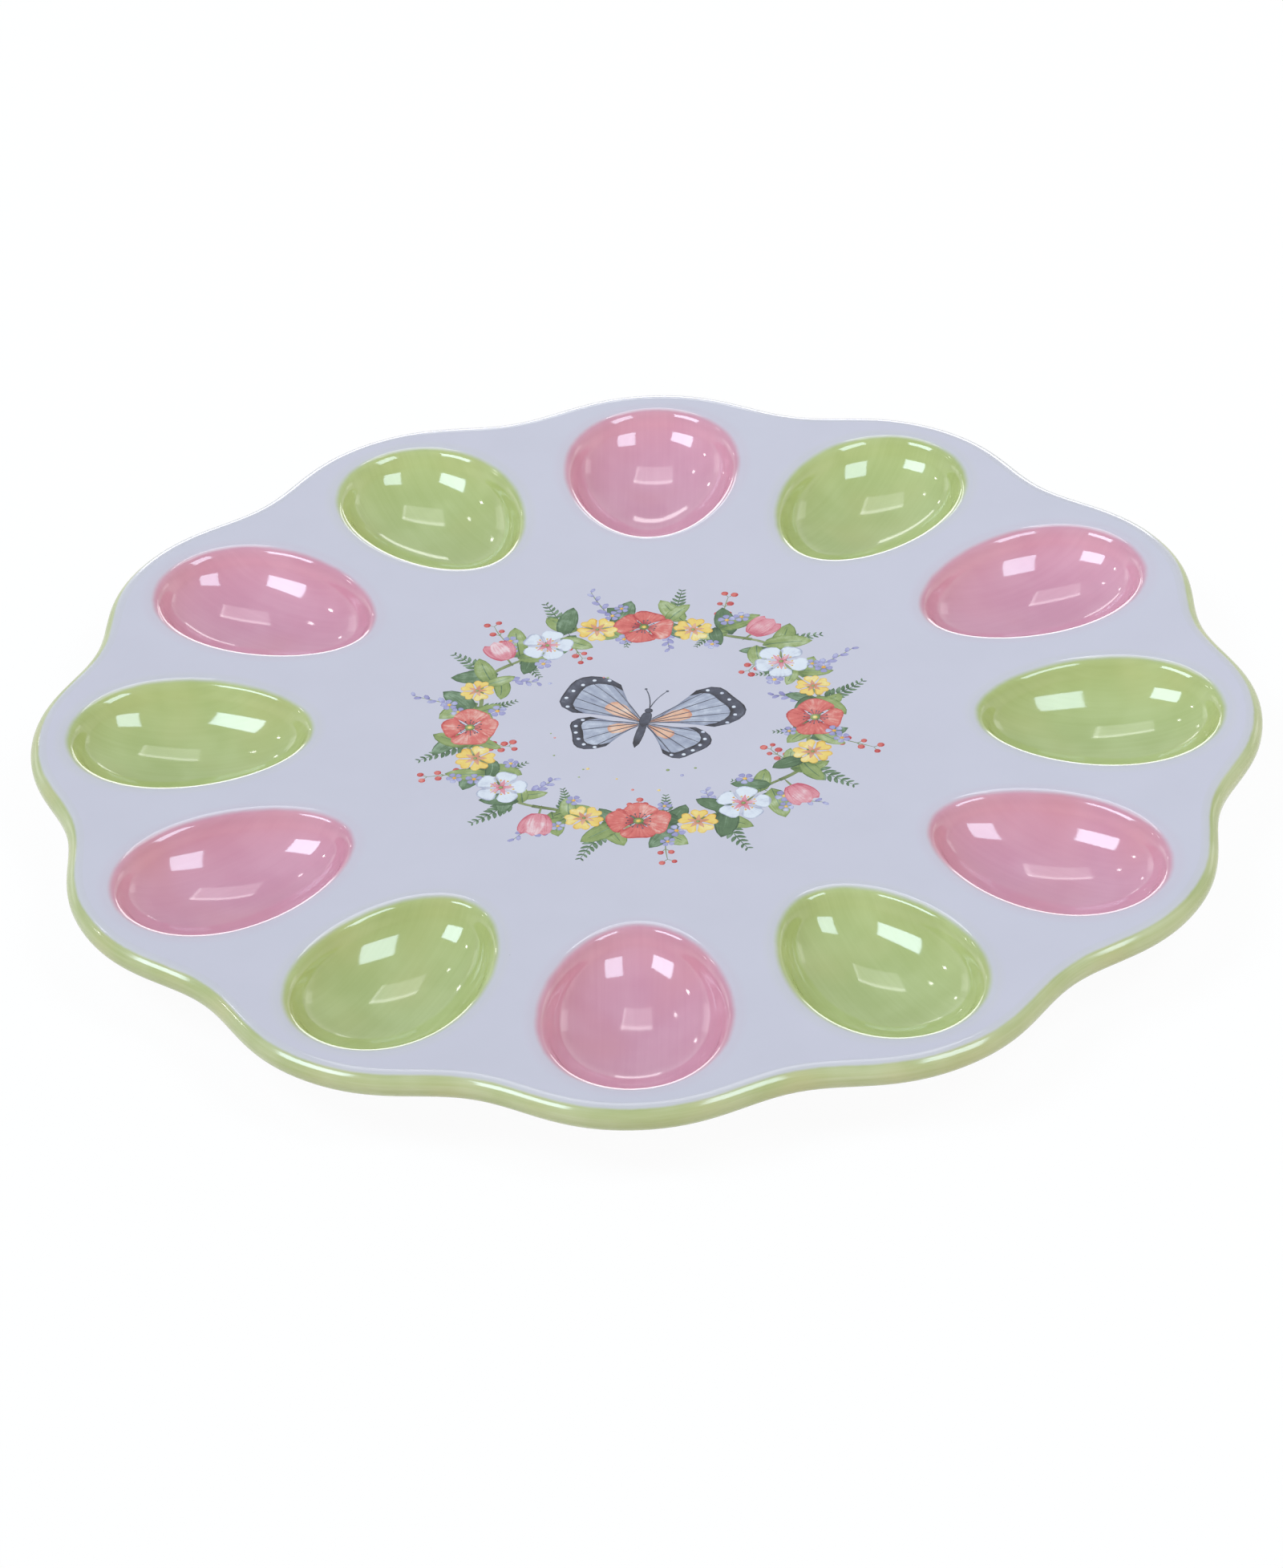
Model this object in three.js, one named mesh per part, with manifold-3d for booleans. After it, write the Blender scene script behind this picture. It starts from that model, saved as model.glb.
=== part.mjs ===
// Scalloped egg plate: a fired earthenware body under separate coats of glaze.
//
// The body is one casting: a flat deck with egg-shaped wells pressed into it, a rounded scalloped rim
// and a foot ring. Each well is lined with its own coloured coat, the rim wears a green band, the deck
// and the underside are white, and a printed transfer lies in the middle of the deck.
// Millimetres, +Z up. The origin is the middle of the foot, on the table. Well 1 faces -Y.

import * as THREE from "three";
import { mergeVertices } from "three/addons/utils/BufferGeometryUtils.js";
import Module from "manifold-3d";

const wasm = await Module();
wasm.setup();

// Driving dimensions of the finished, glazed plate
const wellCount = 12; // egg wells, each with one lobe of the rim outside it
const lobeRadius = 160; // centre to the crest of a lobe
const scallopDepth = 7.8; // how far a valley between two lobes lies inside the crests
const lobeFullness = 0.41; // how much fuller the flanks of a lobe are than a plain wave
const deckHeight = 21; // table to the flat upper face
const rimThickness = 6.6; // upper face to the underside of the rim
const rimRound = 2.8; // how far the rounding of the rim reaches in from its edge
const rimFlat = 0.6; // upright stretch between the upper and the lower rounding
const bandLand = 0.4; // how far the rim's coat runs onto the flat past the rounding
const rimLand = 6; // white margin between the outer end of a well and the rim's coat
const wellHalfLength = 32.5; // mouth of a well, along the plate's radius
const wellHalfWidth = 24.2; // mouth of a well, across the plate's radius
const wellTaper = 0.12; // how much wider the outer end of the egg is, and how much narrower the inner
const wellDepth = 12.5; // deck to the floor of a well
const lipRadius = 2.8; // rounding where the deck turns down into a well
const lipTurn = (72 * Math.PI) / 180; // slope of the wall where the rounding ends
const wallThickness = 5; // clay and glaze together under a well
const footStandOff = 6.4; // foot ring to the nearest bulge of a well
const footWidth = 6; // foot ring at its root
const footDraft = 0.9; // how far each side of the foot ring leans in towards the table
const footChamfer = 0.8; // bevel at the two edges of the ring's ground face
const footBare = 1.6; // height of the foot that is wiped clean of glaze
const glazeThickness = 0.4; // one coat
const coatGap = 0.05; // clearance between a coat and what it lies on or meets
const transferMargin = 19.5; // inner end of a well to the edge of the printed transfer
const transferThickness = 0.1;

// Facets
const lobeSteps = 8; // outline points for each lobe
const roundSteps = 2; // steps of the rim's upper and lower rounding
const wellSegments = 20; // points around a well
const bulgeSegments = 16; // points around the bulge below a well
const bowlSteps = 3; // rings from the floor of a well to its lip
const lipSteps = 3; // rings over the lip
const ringSegments = 40; // points around the foot ring and the transfer

// Places that follow from the dimensions
const bandWidth = rimRound + bandLand;
const wellRing = lobeRadius - bandWidth - rimLand - wellHalfLength;
const wellInnerEnd = wellRing - wellHalfLength;
const lipInset = lipRadius * Math.sin(lipTurn); // mouth to the end of the lip's rounding
const lipDrop = lipRadius * (1 - Math.cos(lipTurn)); // the same, downwards
const bowlMeanHalf = Math.sqrt((wellHalfLength - lipInset) * (wellHalfWidth - lipInset));
const bowlCosine = 1 / ((Math.tan(lipTurn) * bowlMeanHalf) / (wellDepth - lipDrop) - 1);
const bowlReach = Math.acos(bowlCosine); // how much of a quarter turn the wall takes, from floor to lip
const bowlHalfLength = (wellHalfLength - lipInset) / Math.sin(bowlReach);
const bowlHalfWidth = (wellHalfWidth - lipInset) / Math.sin(bowlReach);
const bowlHeight = (wellDepth - lipDrop) / (1 - bowlCosine);
const footRadius = wellRing - bowlHalfLength - wallThickness - footStandOff;
const transferRadius = wellInnerEnd - transferMargin;
const claySkin = glazeThickness + coatGap; // finished surface to clay
const deckUnderside = deckHeight - rimThickness;
const slabMiddle = deckHeight - rimThickness / 2;

// A closed geometry as a solid that can be joined and cut
function solidOf(geometry) {
  geometry.deleteAttribute("normal");
  geometry.deleteAttribute("uv");
  const merged = mergeVertices(geometry);
  return new wasm.Manifold(
    new wasm.Mesh({
      numProp: 3,
      vertProperties: merged.attributes.position.array,
      triVerts: new Uint32Array(merged.index.array),
    }),
  );
}

function geometryOf(solid) {
  const { vertProperties, triVerts } = solid.getMesh();
  return new THREE.BufferGeometry()
    .setAttribute("position", new THREE.BufferAttribute(vertProperties, 3))
    .setIndex(new THREE.BufferAttribute(triVerts, 1));
}

// The scalloped outline, drawn in from the plate's edge along each radius
function scallopPoints(inset) {
  const count = wellCount * lobeSteps;
  return Array.from({ length: count }, (_, step) => {
    const turn = (2 * Math.PI * step) / count;
    const wave = Math.cos(wellCount * turn);
    const flank = 1 - Math.cos(2 * wellCount * turn);
    const radius = lobeRadius - (scallopDepth * (1 - wave)) / 2 + lobeFullness * flank - inset;
    return new THREE.Vector2(radius * Math.cos(turn), radius * Math.sin(turn));
  });
}

function scallopPrism(inset, bottom, top) {
  const shape = new THREE.Shape(scallopPoints(inset));
  const prism = new THREE.ExtrudeGeometry(shape, { depth: top - bottom, bevelEnabled: false });
  return solidOf(prism.translate(0, 0, bottom));
}

// The disc with its rounded rim, its whole surface lying a skin's thickness inside the finished one
function roundedSlab(skin) {
  const disc = new THREE.ExtrudeGeometry(new THREE.Shape(scallopPoints(0)), {
    depth: rimFlat,
    bevelThickness: (rimThickness - rimFlat) / 2 - skin,
    bevelSize: rimRound - skin,
    bevelOffset: -rimRound,
    bevelSegments: roundSteps,
  });
  return solidOf(disc.translate(0, 0, slabMiddle - rimFlat / 2));
}

// An egg outline with its wide end towards +X
class EggCurve extends THREE.Curve {
  constructor(halfLength, halfWidth) {
    super();
    this.halfLength = halfLength;
    this.halfWidth = halfWidth;
  }

  getPoint(share, target = new THREE.Vector3()) {
    const turn = 2 * Math.PI * share;
    const along = Math.cos(turn);
    const across = Math.sin(turn) * (1 + wellTaper * along);
    return target.set(this.halfLength * along, this.halfWidth * across, 0);
  }
}

function eggRing(halfLength, halfWidth, height, segments) {
  const ring = new EggCurve(halfLength, halfWidth).getPoints(segments).slice(0, -1);
  return ring.map((point) => point.setZ(height));
}

// Rings of the lower part of an egg, from the pole at its floor to the end of the lip's rounding. The
// finished well has offset 0, and a larger offset lies deeper in the clay. Heights count from the deck.
function bowlRings(offset, segments) {
  const rings = [];
  for (let step = 0; step <= bowlSteps; step++) {
    const tilt = (bowlReach * step) / bowlSteps;
    const height = bowlHeight - wellDepth - (bowlHeight + offset) * Math.cos(tilt);
    const halfLength = (bowlHalfLength + offset) * Math.sin(tilt);
    const halfWidth = (bowlHalfWidth + offset) * Math.sin(tilt);
    const pole = [new THREE.Vector3(0, 0, height)];
    rings.push(step ? eggRing(halfLength, halfWidth, height, segments) : pole);
  }
  return rings;
}

// The same, carried on over the rounded lip to the mouth of the well
function wellRings(offset) {
  const rings = bowlRings(offset, wellSegments);
  for (let step = 1; step <= lipSteps; step++) {
    const slope = lipTurn * (1 - step / lipSteps);
    const inset = (lipRadius - offset) * Math.sin(slope);
    const height = -lipRadius + (lipRadius - offset) * Math.cos(slope);
    rings.push(eggRing(wellHalfLength - inset, wellHalfWidth - inset, height, wellSegments));
  }
  return rings;
}

// A closed skin over rings that run from one pole to another, each pole a ring of one point
function loft(rings) {
  const sides = rings[1].length;
  const index = [];
  let first = 0;
  for (let step = 0; step + 1 < rings.length; step++) {
    const below = rings[step].length;
    const above = rings[step + 1].length;
    const next = first + below;
    for (let side = 0; side < sides; side++) {
      const other = (side + 1) % sides;
      if (below > 1) index.push(first + side, first + other, next + (other % above));
      if (above > 1) index.push(first + (side % below), next + other, next + side);
    }
    first = next;
  }
  const positions = rings.flat().flatMap((point) => point.toArray());
  return new THREE.BufferGeometry()
    .setAttribute("position", new THREE.Float32BufferAttribute(positions, 3))
    .setIndex(index);
}

// Rings closed by a flat lid
function plug(rings, lidHeight) {
  const mouth = rings.at(-1).map((point) => point.clone().setZ(lidHeight));
  return loft([...rings, mouth, [new THREE.Vector3(0, 0, lidHeight)]]);
}

// Angle of a well on the plate, counted from the one that faces -Y
function wellTurn(number) {
  return -Math.PI / 2 + (2 * Math.PI * number) / wellCount;
}

// Places a geometry made in a well's own frame: origin on the deck, +X along the plate's radius
function placedInWell(geometry, number) {
  return geometry.translate(wellRing, 0, deckHeight).rotateZ(wellTurn(number));
}

function joinedWells(makeGeometry) {
  const solids = [];
  for (let number = 0; number < wellCount; number++) {
    solids.push(solidOf(placedInWell(makeGeometry(), number)));
  }
  return solids.reduce((all, solid) => all.add(solid));
}

// The outside of the wells, bulging below the deck
function wellBulges(offset) {
  return joinedWells(() => plug(bowlRings(offset, bulgeSegments), -lipRadius / 2));
}

// A ring standing on a given height, its sides moved out by grow, with an optional bevel at its edges
function footRing(grow, bottom, chamfer) {
  const lean = (height) => footDraft * (1 - height / slabMiddle) - grow;
  const outer = (height) => footRadius - lean(height);
  const inner = (height) => footRadius - footWidth + lean(height);
  const profile = [
    [inner(bottom) + chamfer, bottom],
    [outer(bottom) - chamfer, bottom],
    [outer(bottom + chamfer), bottom + chamfer],
    [outer(slabMiddle), slabMiddle],
    [inner(slabMiddle), slabMiddle],
    [inner(bottom + chamfer), bottom + chamfer],
  ].map(([radius, height]) => new THREE.Vector2(radius, height));
  const ring = chamfer ? profile : [profile[0], profile[1], profile[3], profile[4]];
  const lathe = new THREE.LatheGeometry([...ring, ring[0]], ringSegments);
  return solidOf(lathe.rotateX(Math.PI / 2));
}

function earthenwareBody() {
  const lidHeight = glazeThickness; // clear of the deck, so the cut leaves no skin
  const wells = joinedWells(() => plug(wellRings(claySkin), lidHeight));
  return roundedSlab(claySkin)
    .add(wellBulges(wallThickness - claySkin))
    .add(footRing(0, 0, footChamfer))
    .subtract(wells);
}

// White sheet over the deck, open at every well
function deckGlaze() {
  const shape = new THREE.Shape(scallopPoints(bandWidth + coatGap));
  const mouth = eggRing(wellHalfLength + coatGap, wellHalfWidth + coatGap, 0, wellSegments);
  for (let number = 0; number < wellCount; number++) {
    const turn = wellTurn(number);
    const outline = mouth.map((point) => {
      const onPlate = new THREE.Vector2(wellRing + point.x, point.y);
      return onPlate.rotateAround(new THREE.Vector2(), turn);
    });
    shape.holes.push(new THREE.Path(outline));
  }
  const sheet = new THREE.ExtrudeGeometry(shape, { depth: glazeThickness, bevelEnabled: false });
  return sheet.translate(0, 0, deckHeight - glazeThickness);
}

// Coloured lining of one well, from its floor over the lip to the deck
function wellGlaze(number) {
  const lining = loft([...wellRings(glazeThickness), ...wellRings(0).reverse()]);
  return placedInWell(lining, number);
}

// Green band round the rounded edge, running a little way onto the deck and the underside
function rimGlaze() {
  const core = scallopPrism(bandWidth, deckUnderside - rimThickness, deckHeight + rimThickness);
  return geometryOf(roundedSlab(0).subtract(roundedSlab(glazeThickness)).subtract(core));
}

// White coat of the underside, over the bulges and down both sides of the foot ring
function undersideCoat() {
  const edge = bandWidth + coatGap;
  const clay = scallopPrism(0, deckUnderside + glazeThickness, deckHeight)
    .add(wellBulges(wallThickness - glazeThickness))
    .add(footRing(coatGap, 0, 0));
  const coat = scallopPrism(edge, deckUnderside, slabMiddle)
    .add(wellBulges(wallThickness))
    .add(footRing(claySkin, footBare, 0));
  return coat.subtract(clay);
}

// The round of the underside that the foot ring encloses, as far as the middle of the ring
function footCore() {
  const radius = footRadius - footWidth / 2;
  const core = new THREE.CylinderGeometry(radius, radius, 2 * deckHeight, ringSegments);
  return solidOf(core.rotateX(Math.PI / 2));
}

// Thin round film that carries the printed design
function printedTransfer() {
  const film = new THREE.CylinderGeometry(transferRadius, transferRadius, transferThickness, ringSegments);
  return film.rotateX(Math.PI / 2).translate(0, 0, deckHeight + transferThickness / 2);
}

function finish(color, roughness) {
  return new THREE.MeshStandardMaterial({ color, roughness, metalness: 0 });
}

const clay = finish(0xe6ddcf, 0.8);
const white = finish(0xc8cadc, 0.15);
const green = finish(0xaaba84, 0.12);
const pink = finish(0xca99b1, 0.12);
const film = finish(0xd6d8e6, 0.15);

const plate = new THREE.Group();

function addPiece(name, geometry, material) {
  const mesh = new THREE.Mesh(geometry, material);
  mesh.name = name;
  plate.add(mesh);
}

addPiece("earthenware_body", geometryOf(earthenwareBody()), clay);
addPiece("deck_glaze", deckGlaze(), white);
addPiece("rim_glaze", rimGlaze(), green);
addPiece("back_glaze", geometryOf(undersideCoat().subtract(footCore())), white);
addPiece("base_glaze", geometryOf(undersideCoat().intersect(footCore())), white);
for (let number = 0; number < wellCount; number++) {
  const pinkTurn = number % 2 === 0;
  const label = String(number + 1).padStart(2, "0");
  const name = `${pinkTurn ? "pink" : "green"}_well_glaze_${label}`;
  addPiece(name, wellGlaze(number), pinkTurn ? pink : green);
}
addPiece("printed_transfer", printedTransfer(), film);

export default plate;
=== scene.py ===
# %% [markdown]
# # A glazed egg plate
# The plate is one casting of clay under several coats of glaze: white on the deck and the back, pink and
# green in the wells, green round the rim. Each coat is a closed shell here, built over the place that the
# CAD model gives it, and the clay is what is left inside the coats.
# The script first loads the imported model, because every size that matters is in it.

# %% Load the frame
import math
import random

import bmesh
import bpy
import numpy as np
from mathutils import Matrix, Vector
from mathutils.geometry import delaunay_2d_cdt


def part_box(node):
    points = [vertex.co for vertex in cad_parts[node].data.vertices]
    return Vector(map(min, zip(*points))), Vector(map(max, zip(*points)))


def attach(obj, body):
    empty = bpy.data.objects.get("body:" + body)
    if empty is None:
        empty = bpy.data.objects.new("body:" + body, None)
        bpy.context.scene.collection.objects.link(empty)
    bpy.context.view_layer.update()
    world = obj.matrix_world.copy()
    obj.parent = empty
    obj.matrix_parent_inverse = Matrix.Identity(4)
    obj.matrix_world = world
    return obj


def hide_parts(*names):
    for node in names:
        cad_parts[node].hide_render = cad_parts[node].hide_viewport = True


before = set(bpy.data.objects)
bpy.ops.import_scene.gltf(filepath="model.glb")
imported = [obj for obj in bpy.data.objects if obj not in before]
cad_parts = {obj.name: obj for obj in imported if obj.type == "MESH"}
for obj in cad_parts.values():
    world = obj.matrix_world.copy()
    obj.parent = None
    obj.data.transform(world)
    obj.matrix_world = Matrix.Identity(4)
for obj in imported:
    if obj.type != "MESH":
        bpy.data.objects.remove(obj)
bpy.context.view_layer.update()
MM = 0.001  # this script counts in millimetres and turns to metres when a mesh is made


def corners_mm(node):
    low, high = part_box(node)
    return np.array(low) / MM, np.array(high) / MM


print("CAD nodes:", len(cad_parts))

# %% [markdown]
# ## Measures
# Sizes could be typed in again, but then they would drift from the CAD model. What a box can tell is read
# from the nodes: the deck's height, the coat's thickness, the reach of the lobes, and the place, length,
# width and depth of a well. Only what no box shows, such as a rounding, is written here.

# %% Measures from the frame, and the few that it doesn't show
deck_low, deck_high = corners_mm("deck_glaze")
rim_low, rim_high = corners_mm("rim_glaze")
well_low, well_high = corners_mm("pink_well_glaze_01")  # the well that faces -Y
_, film_high = corners_mm("printed_transfer")

DECK = deck_high[2]
GLAZE = deck_high[2] - deck_low[2]
LOBE_RADIUS = rim_high[0]
RIM_THICKNESS = rim_high[2] - rim_low[2]
UNDERSIDE = DECK - RIM_THICKNESS
WELL_RING = -(well_low[1] + well_high[1]) / 2
WELL_HALF_LENGTH = (well_high[1] - well_low[1]) / 2
WELL_HALF_WIDTH = (well_high[0] - well_low[0]) / 2
WELL_DEPTH = DECK - well_low[2] - GLAZE
FILM_RADIUS = film_high[0]

WELLS = 12
SCALLOP_DEPTH = 7.8  # from the tip of a lobe to the bottom of a dip
LOBE_FULLNESS = 0.41  # how much fuller the flanks of a lobe are than a plain wave
RIM_ROUND = 2.8  # rounding of the rim's lower edge
RIM_ROLL = 4.2  # how far in from the edge the deck starts to roll over
RIM_FLAT = 0.6  # upright strip between the two roundings
BAND = 4.4  # the rim's coat reaches this far in from the edge
LIP = 2.8  # rounding of a well's lip in the CAD model
LIP_TURN = math.radians(72)  # slope of a well's wall where the rounding of the lip ends
WELL_TAPER = 0.12  # how much wider the outer end of a well is, and how much narrower the inner
WALL = 5.0  # clay and glaze together under a well
FOOT_RADIUS = 76.69  # outside, at the root
FOOT_WIDTH = 6.0
FOOT_DRAFT = 0.9  # how far each side of the foot leans in towards the table
FOOT_CHAMFER = 0.8
FOOT_BARE = 1.6  # height to which the foot is wiped
FOOT_FILLET = 2.5
print(f"deck at {DECK:.1f} mm, wells {2 * WELL_HALF_LENGTH:.1f} by {2 * WELL_HALF_WIDTH:.1f} mm,"
      f" {WELL_DEPTH:.1f} mm deep, on a ring of {WELL_RING:.1f} mm")

# %% [markdown]
# ## Outlines and skins
# The plate could be modelled with modifiers on a box, but its curves are known as formulas, so the mesh is
# laid straight onto them. Everything is a stack of loops: closed rows of points with one skin over them.
# A loop of one point is a pole, where the skin closes. Two stacks, one outside and one inside, make a shell.

# %% Scallop and egg outlines
LOBE_POINTS = 32
RIM_POINTS = WELLS * LOBE_POINTS
WELL_POINTS = 96
rim_turn = np.arange(RIM_POINTS) * 2 * math.pi / RIM_POINTS
well_turn = np.arange(WELL_POINTS) * 2 * math.pi / WELL_POINTS


def scallop(inset):
    """The rim's outline, drawn in square to its own edge."""
    wave, double = np.cos(WELLS * rim_turn), np.cos(2 * WELLS * rim_turn)
    radius = LOBE_RADIUS - SCALLOP_DEPTH * (1 - wave) / 2 + LOBE_FULLNESS * (1 - double)
    slope = np.gradient(np.concatenate([radius[-2:], radius, radius[:2]]))[2:-2] * RIM_POINTS / (2 * math.pi)
    lean = np.arctan2(slope, radius)
    points = radius[:, None] * np.column_stack([np.cos(rim_turn), np.sin(rim_turn)])
    return points - inset * np.column_stack([np.cos(rim_turn - lean), np.sin(rim_turn - lean)])


def egg(half_length, half_width):
    """An egg outline with its wide end towards +X."""
    along = np.cos(well_turn)
    across = np.sin(well_turn) * (1 + WELL_TAPER * along)
    return np.column_stack([half_length * along, half_width * across])


def circle(radius):
    return radius * np.column_stack([np.cos(rim_turn), np.sin(rim_turn)])


def at_height(outline, height):
    return np.column_stack([outline, np.broadcast_to(height, len(outline))])


print("rim outline:", RIM_POINTS, "points; well outline:", WELL_POINTS, "points")

# %% Places of the wells
def well_heading(number):
    return -math.pi / 2 + 2 * math.pi * number / WELLS


def place_in_well(points, number):
    """Moves points from a well's own frame, with +X along the plate's radius, to the plate."""
    turn = well_heading(number)
    x, y = points[:, 0] + WELL_RING, points[:, 1]
    placed = points.copy()
    placed[:, 0] = x * math.cos(turn) - y * math.sin(turn)
    placed[:, 1] = x * math.sin(turn) + y * math.cos(turn)
    return placed


def egg_share(points, number, half_length, half_width):
    """0 in the middle of a well, and 1 on an egg outline of the given size round it."""
    turn = well_heading(number)
    along = points[:, 0] * math.cos(turn) + points[:, 1] * math.sin(turn) - WELL_RING
    across = points[:, 1] * math.cos(turn) - points[:, 0] * math.sin(turn)
    along = along / half_length
    across = across / (half_width * (1 + WELL_TAPER * np.clip(along, -1, 1)))
    return along ** 2 + across ** 2


print("wells:", WELLS, "in a ring, one every", 360 / WELLS, "degrees")

# %% A skin over loops
def skin(loops, closed=False):
    """Corners and faces over loops of points. A closed skin runs on from the last loop to the first."""
    starts = np.cumsum([0] + [len(loop) for loop in loops])
    steps = [(row, row + 1) for row in range(len(loops) - 1)]
    if closed:
        steps.append((len(loops) - 1, 0))
    faces = []
    for here, there in steps:
        n, m = len(loops[here]), len(loops[there])
        sides = max(n, m) if max(n, m) > 1 else 0
        for side in range(sides):
            other = (side + 1) % sides
            ring = [starts[here] + side % n, starts[here] + other % n,
                    starts[there] + other % m, starts[there] + side % m]
            faces.append([int(corner) for corner in dict.fromkeys(ring)])
    return np.concatenate(loops), faces


def shell(outside, inside):
    """A closed coat between an outer and an inner stack of loops that run the same way."""
    return skin(outside + inside[::-1], closed=True)


def joined(skins):
    """Several skins as one list of corners and faces."""
    corners, faces, first = [], [], 0
    for points, rings in skins:
        corners.append(points)
        faces.extend([[first + corner for corner in ring] for ring in rings])
        first += len(points)
    return np.concatenate(corners), faces


print("skins: open or closed stacks of loops, and several joined into one")

# %% A piece from a skin
SHARP = math.radians(40)  # edges that turn more than this are not smoothed
WELD = 0.002  # corners of neighbouring skins that lie closer than this become one


def add_object(name, data):
    """Puts a mesh, a lamp or a camera into the scene."""
    thing = bpy.data.objects.new(name, data)
    bpy.context.scene.collection.objects.link(thing)
    return thing


def make_piece(name, form, material, nodes, values=None, weld=False):
    """A mesh that rides on the plate. values holds a number, or three, for each corner, under a name."""
    corners, faces = form
    mesh = bpy.data.meshes.new(name)
    mesh.from_pydata((corners * MM).tolist(), [], faces)
    for key, numbers in (values or {}).items():
        numbers = np.asarray(numbers, np.float32)
        kind, field = ("FLOAT_VECTOR", "vector") if numbers.ndim == 2 else ("FLOAT", "value")
        mesh.attributes.new(key, kind, "POINT").data.foreach_set(field, numbers.ravel())
    sculpt = bmesh.new()
    sculpt.from_mesh(mesh)
    if weld:
        bmesh.ops.remove_doubles(sculpt, verts=sculpt.verts, dist=WELD * MM)
    bmesh.ops.recalc_face_normals(sculpt, faces=sculpt.faces)
    open_edges = sum(not edge.is_manifold for edge in sculpt.edges)
    sculpt.to_mesh(mesh)
    sculpt.free()
    mesh.shade_smooth()
    mesh.set_sharp_from_angle(angle=SHARP)
    mesh.materials.append(material)
    piece = add_object(name, mesh)
    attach(piece, "root")
    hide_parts(*nodes)
    print(f"{name}: {len(mesh.vertices)} corners, {len(mesh.polygons)} faces, {open_edges} open edges")


print(f"pieces: edges over {math.degrees(SHARP):.0f} degrees stay sharp")

# %% [markdown]
# ## Glaze as nodes
# Three things make glaze look like glaze: it mirrors sharply, its surface is very slightly wavy, and tiny
# specks and cloudy patches show in it. They are the same on every coat, so they are one node group, placed
# in each material with its own values. The waviness is a bump of a few micrometres, far too fine for a mesh.

# %% Helpers for node trees
def add_node(tree, kind, inputs=None, **settings):
    """A node with some settings and input values. An input given as a socket is linked."""
    node = tree.nodes.new(kind)
    for key, value in settings.items():
        setattr(node, key, value)
    for key, value in (inputs or {}).items():
        if isinstance(value, bpy.types.NodeSocket):
            tree.links.new(value, node.inputs[key])
        else:
            node.inputs[key].default_value = value
    return node


def maths(tree, operation, *values):
    """The result of a Math node."""
    return add_node(tree, "ShaderNodeMath", dict(enumerate(values)), operation=operation).outputs[0]


MIX_FACTOR, MIX_FIRST, MIX_SECOND, MIX_RESULT = 0, 6, 7, 2  # the colour sockets of a Mix node
BUMP_DEPTH = 0.0002  # metres


def blend(tree, factor, first, second):
    """The result of a colour Mix node."""
    inputs = {MIX_FACTOR: factor, MIX_FIRST: first, MIX_SECOND: second}
    return add_node(tree, "ShaderNodeMix", inputs, data_type="RGBA").outputs[MIX_RESULT]


def smooth_step(tree, value, low, high):
    """0 at low, 1 at high, and a soft ramp between. low may be the larger of the two."""
    inputs = {"Value": value, "From Min": low, "From Max": high}
    return add_node(tree, "ShaderNodeMapRange", inputs, interpolation_type="SMOOTHSTEP").outputs["Result"]


def noise(tree, place, scale, detail, roughness=0.5):
    """The value of a Noise Texture at a place."""
    inputs = {"Vector": place, "Scale": scale, "Detail": detail, "Roughness": roughness}
    return add_node(tree, "ShaderNodeTexNoise", inputs).outputs["Fac"]


def bump(tree, height, strength):
    """The normal that a Bump node makes from a height."""
    inputs = {"Strength": strength, "Distance": BUMP_DEPTH, "Height": height}
    return add_node(tree, "ShaderNodeBump", inputs).outputs["Normal"]


def object_place(tree):
    return add_node(tree, "ShaderNodeTexCoord").outputs["Object"]


print("nodes: maths, blend, smooth step, noise, bump")

# %% Empty groups, and colours
def new_group(name, inputs, outputs):
    """An empty shader node group, with its input values by name and its output sockets by name."""
    tree = bpy.data.node_groups.new(name, "ShaderNodeTree")
    kinds = {"colour": "NodeSocketColor", "value": "NodeSocketFloat", "vector": "NodeSocketVector"}
    for key, (kind, default) in inputs.items():
        socket = tree.interface.new_socket(key, in_out="INPUT", socket_type=kinds[kind])
        if default is not None:
            socket.default_value = default
    for key, kind in outputs.items():
        tree.interface.new_socket(key, in_out="OUTPUT", socket_type=kinds[kind])
    return tree, tree.nodes.new("NodeGroupInput").outputs, tree.nodes.new("NodeGroupOutput").inputs


def srgb(red, green, blue):
    """A colour given as it looks on screen, from 0 to 255, as Blender's linear values."""
    shares = (np.array([red, green, blue]) / 255).tolist()
    return tuple(s / 12.92 if s <= 0.04045 else ((s + 0.055) / 1.055) ** 2.4 for s in shares) + (1.0,)


print("middle grey on screen is", round(srgb(128, 128, 128)[0], 3), "in Blender's values")

# %% Node group: glaze surface
SPECKLESS = 0.93  # the share of Voronoi cells that hold no speck
SPECK_STRENGTH = 0.6
GLOSS = 0.06  # roughness of a smooth coat


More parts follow.
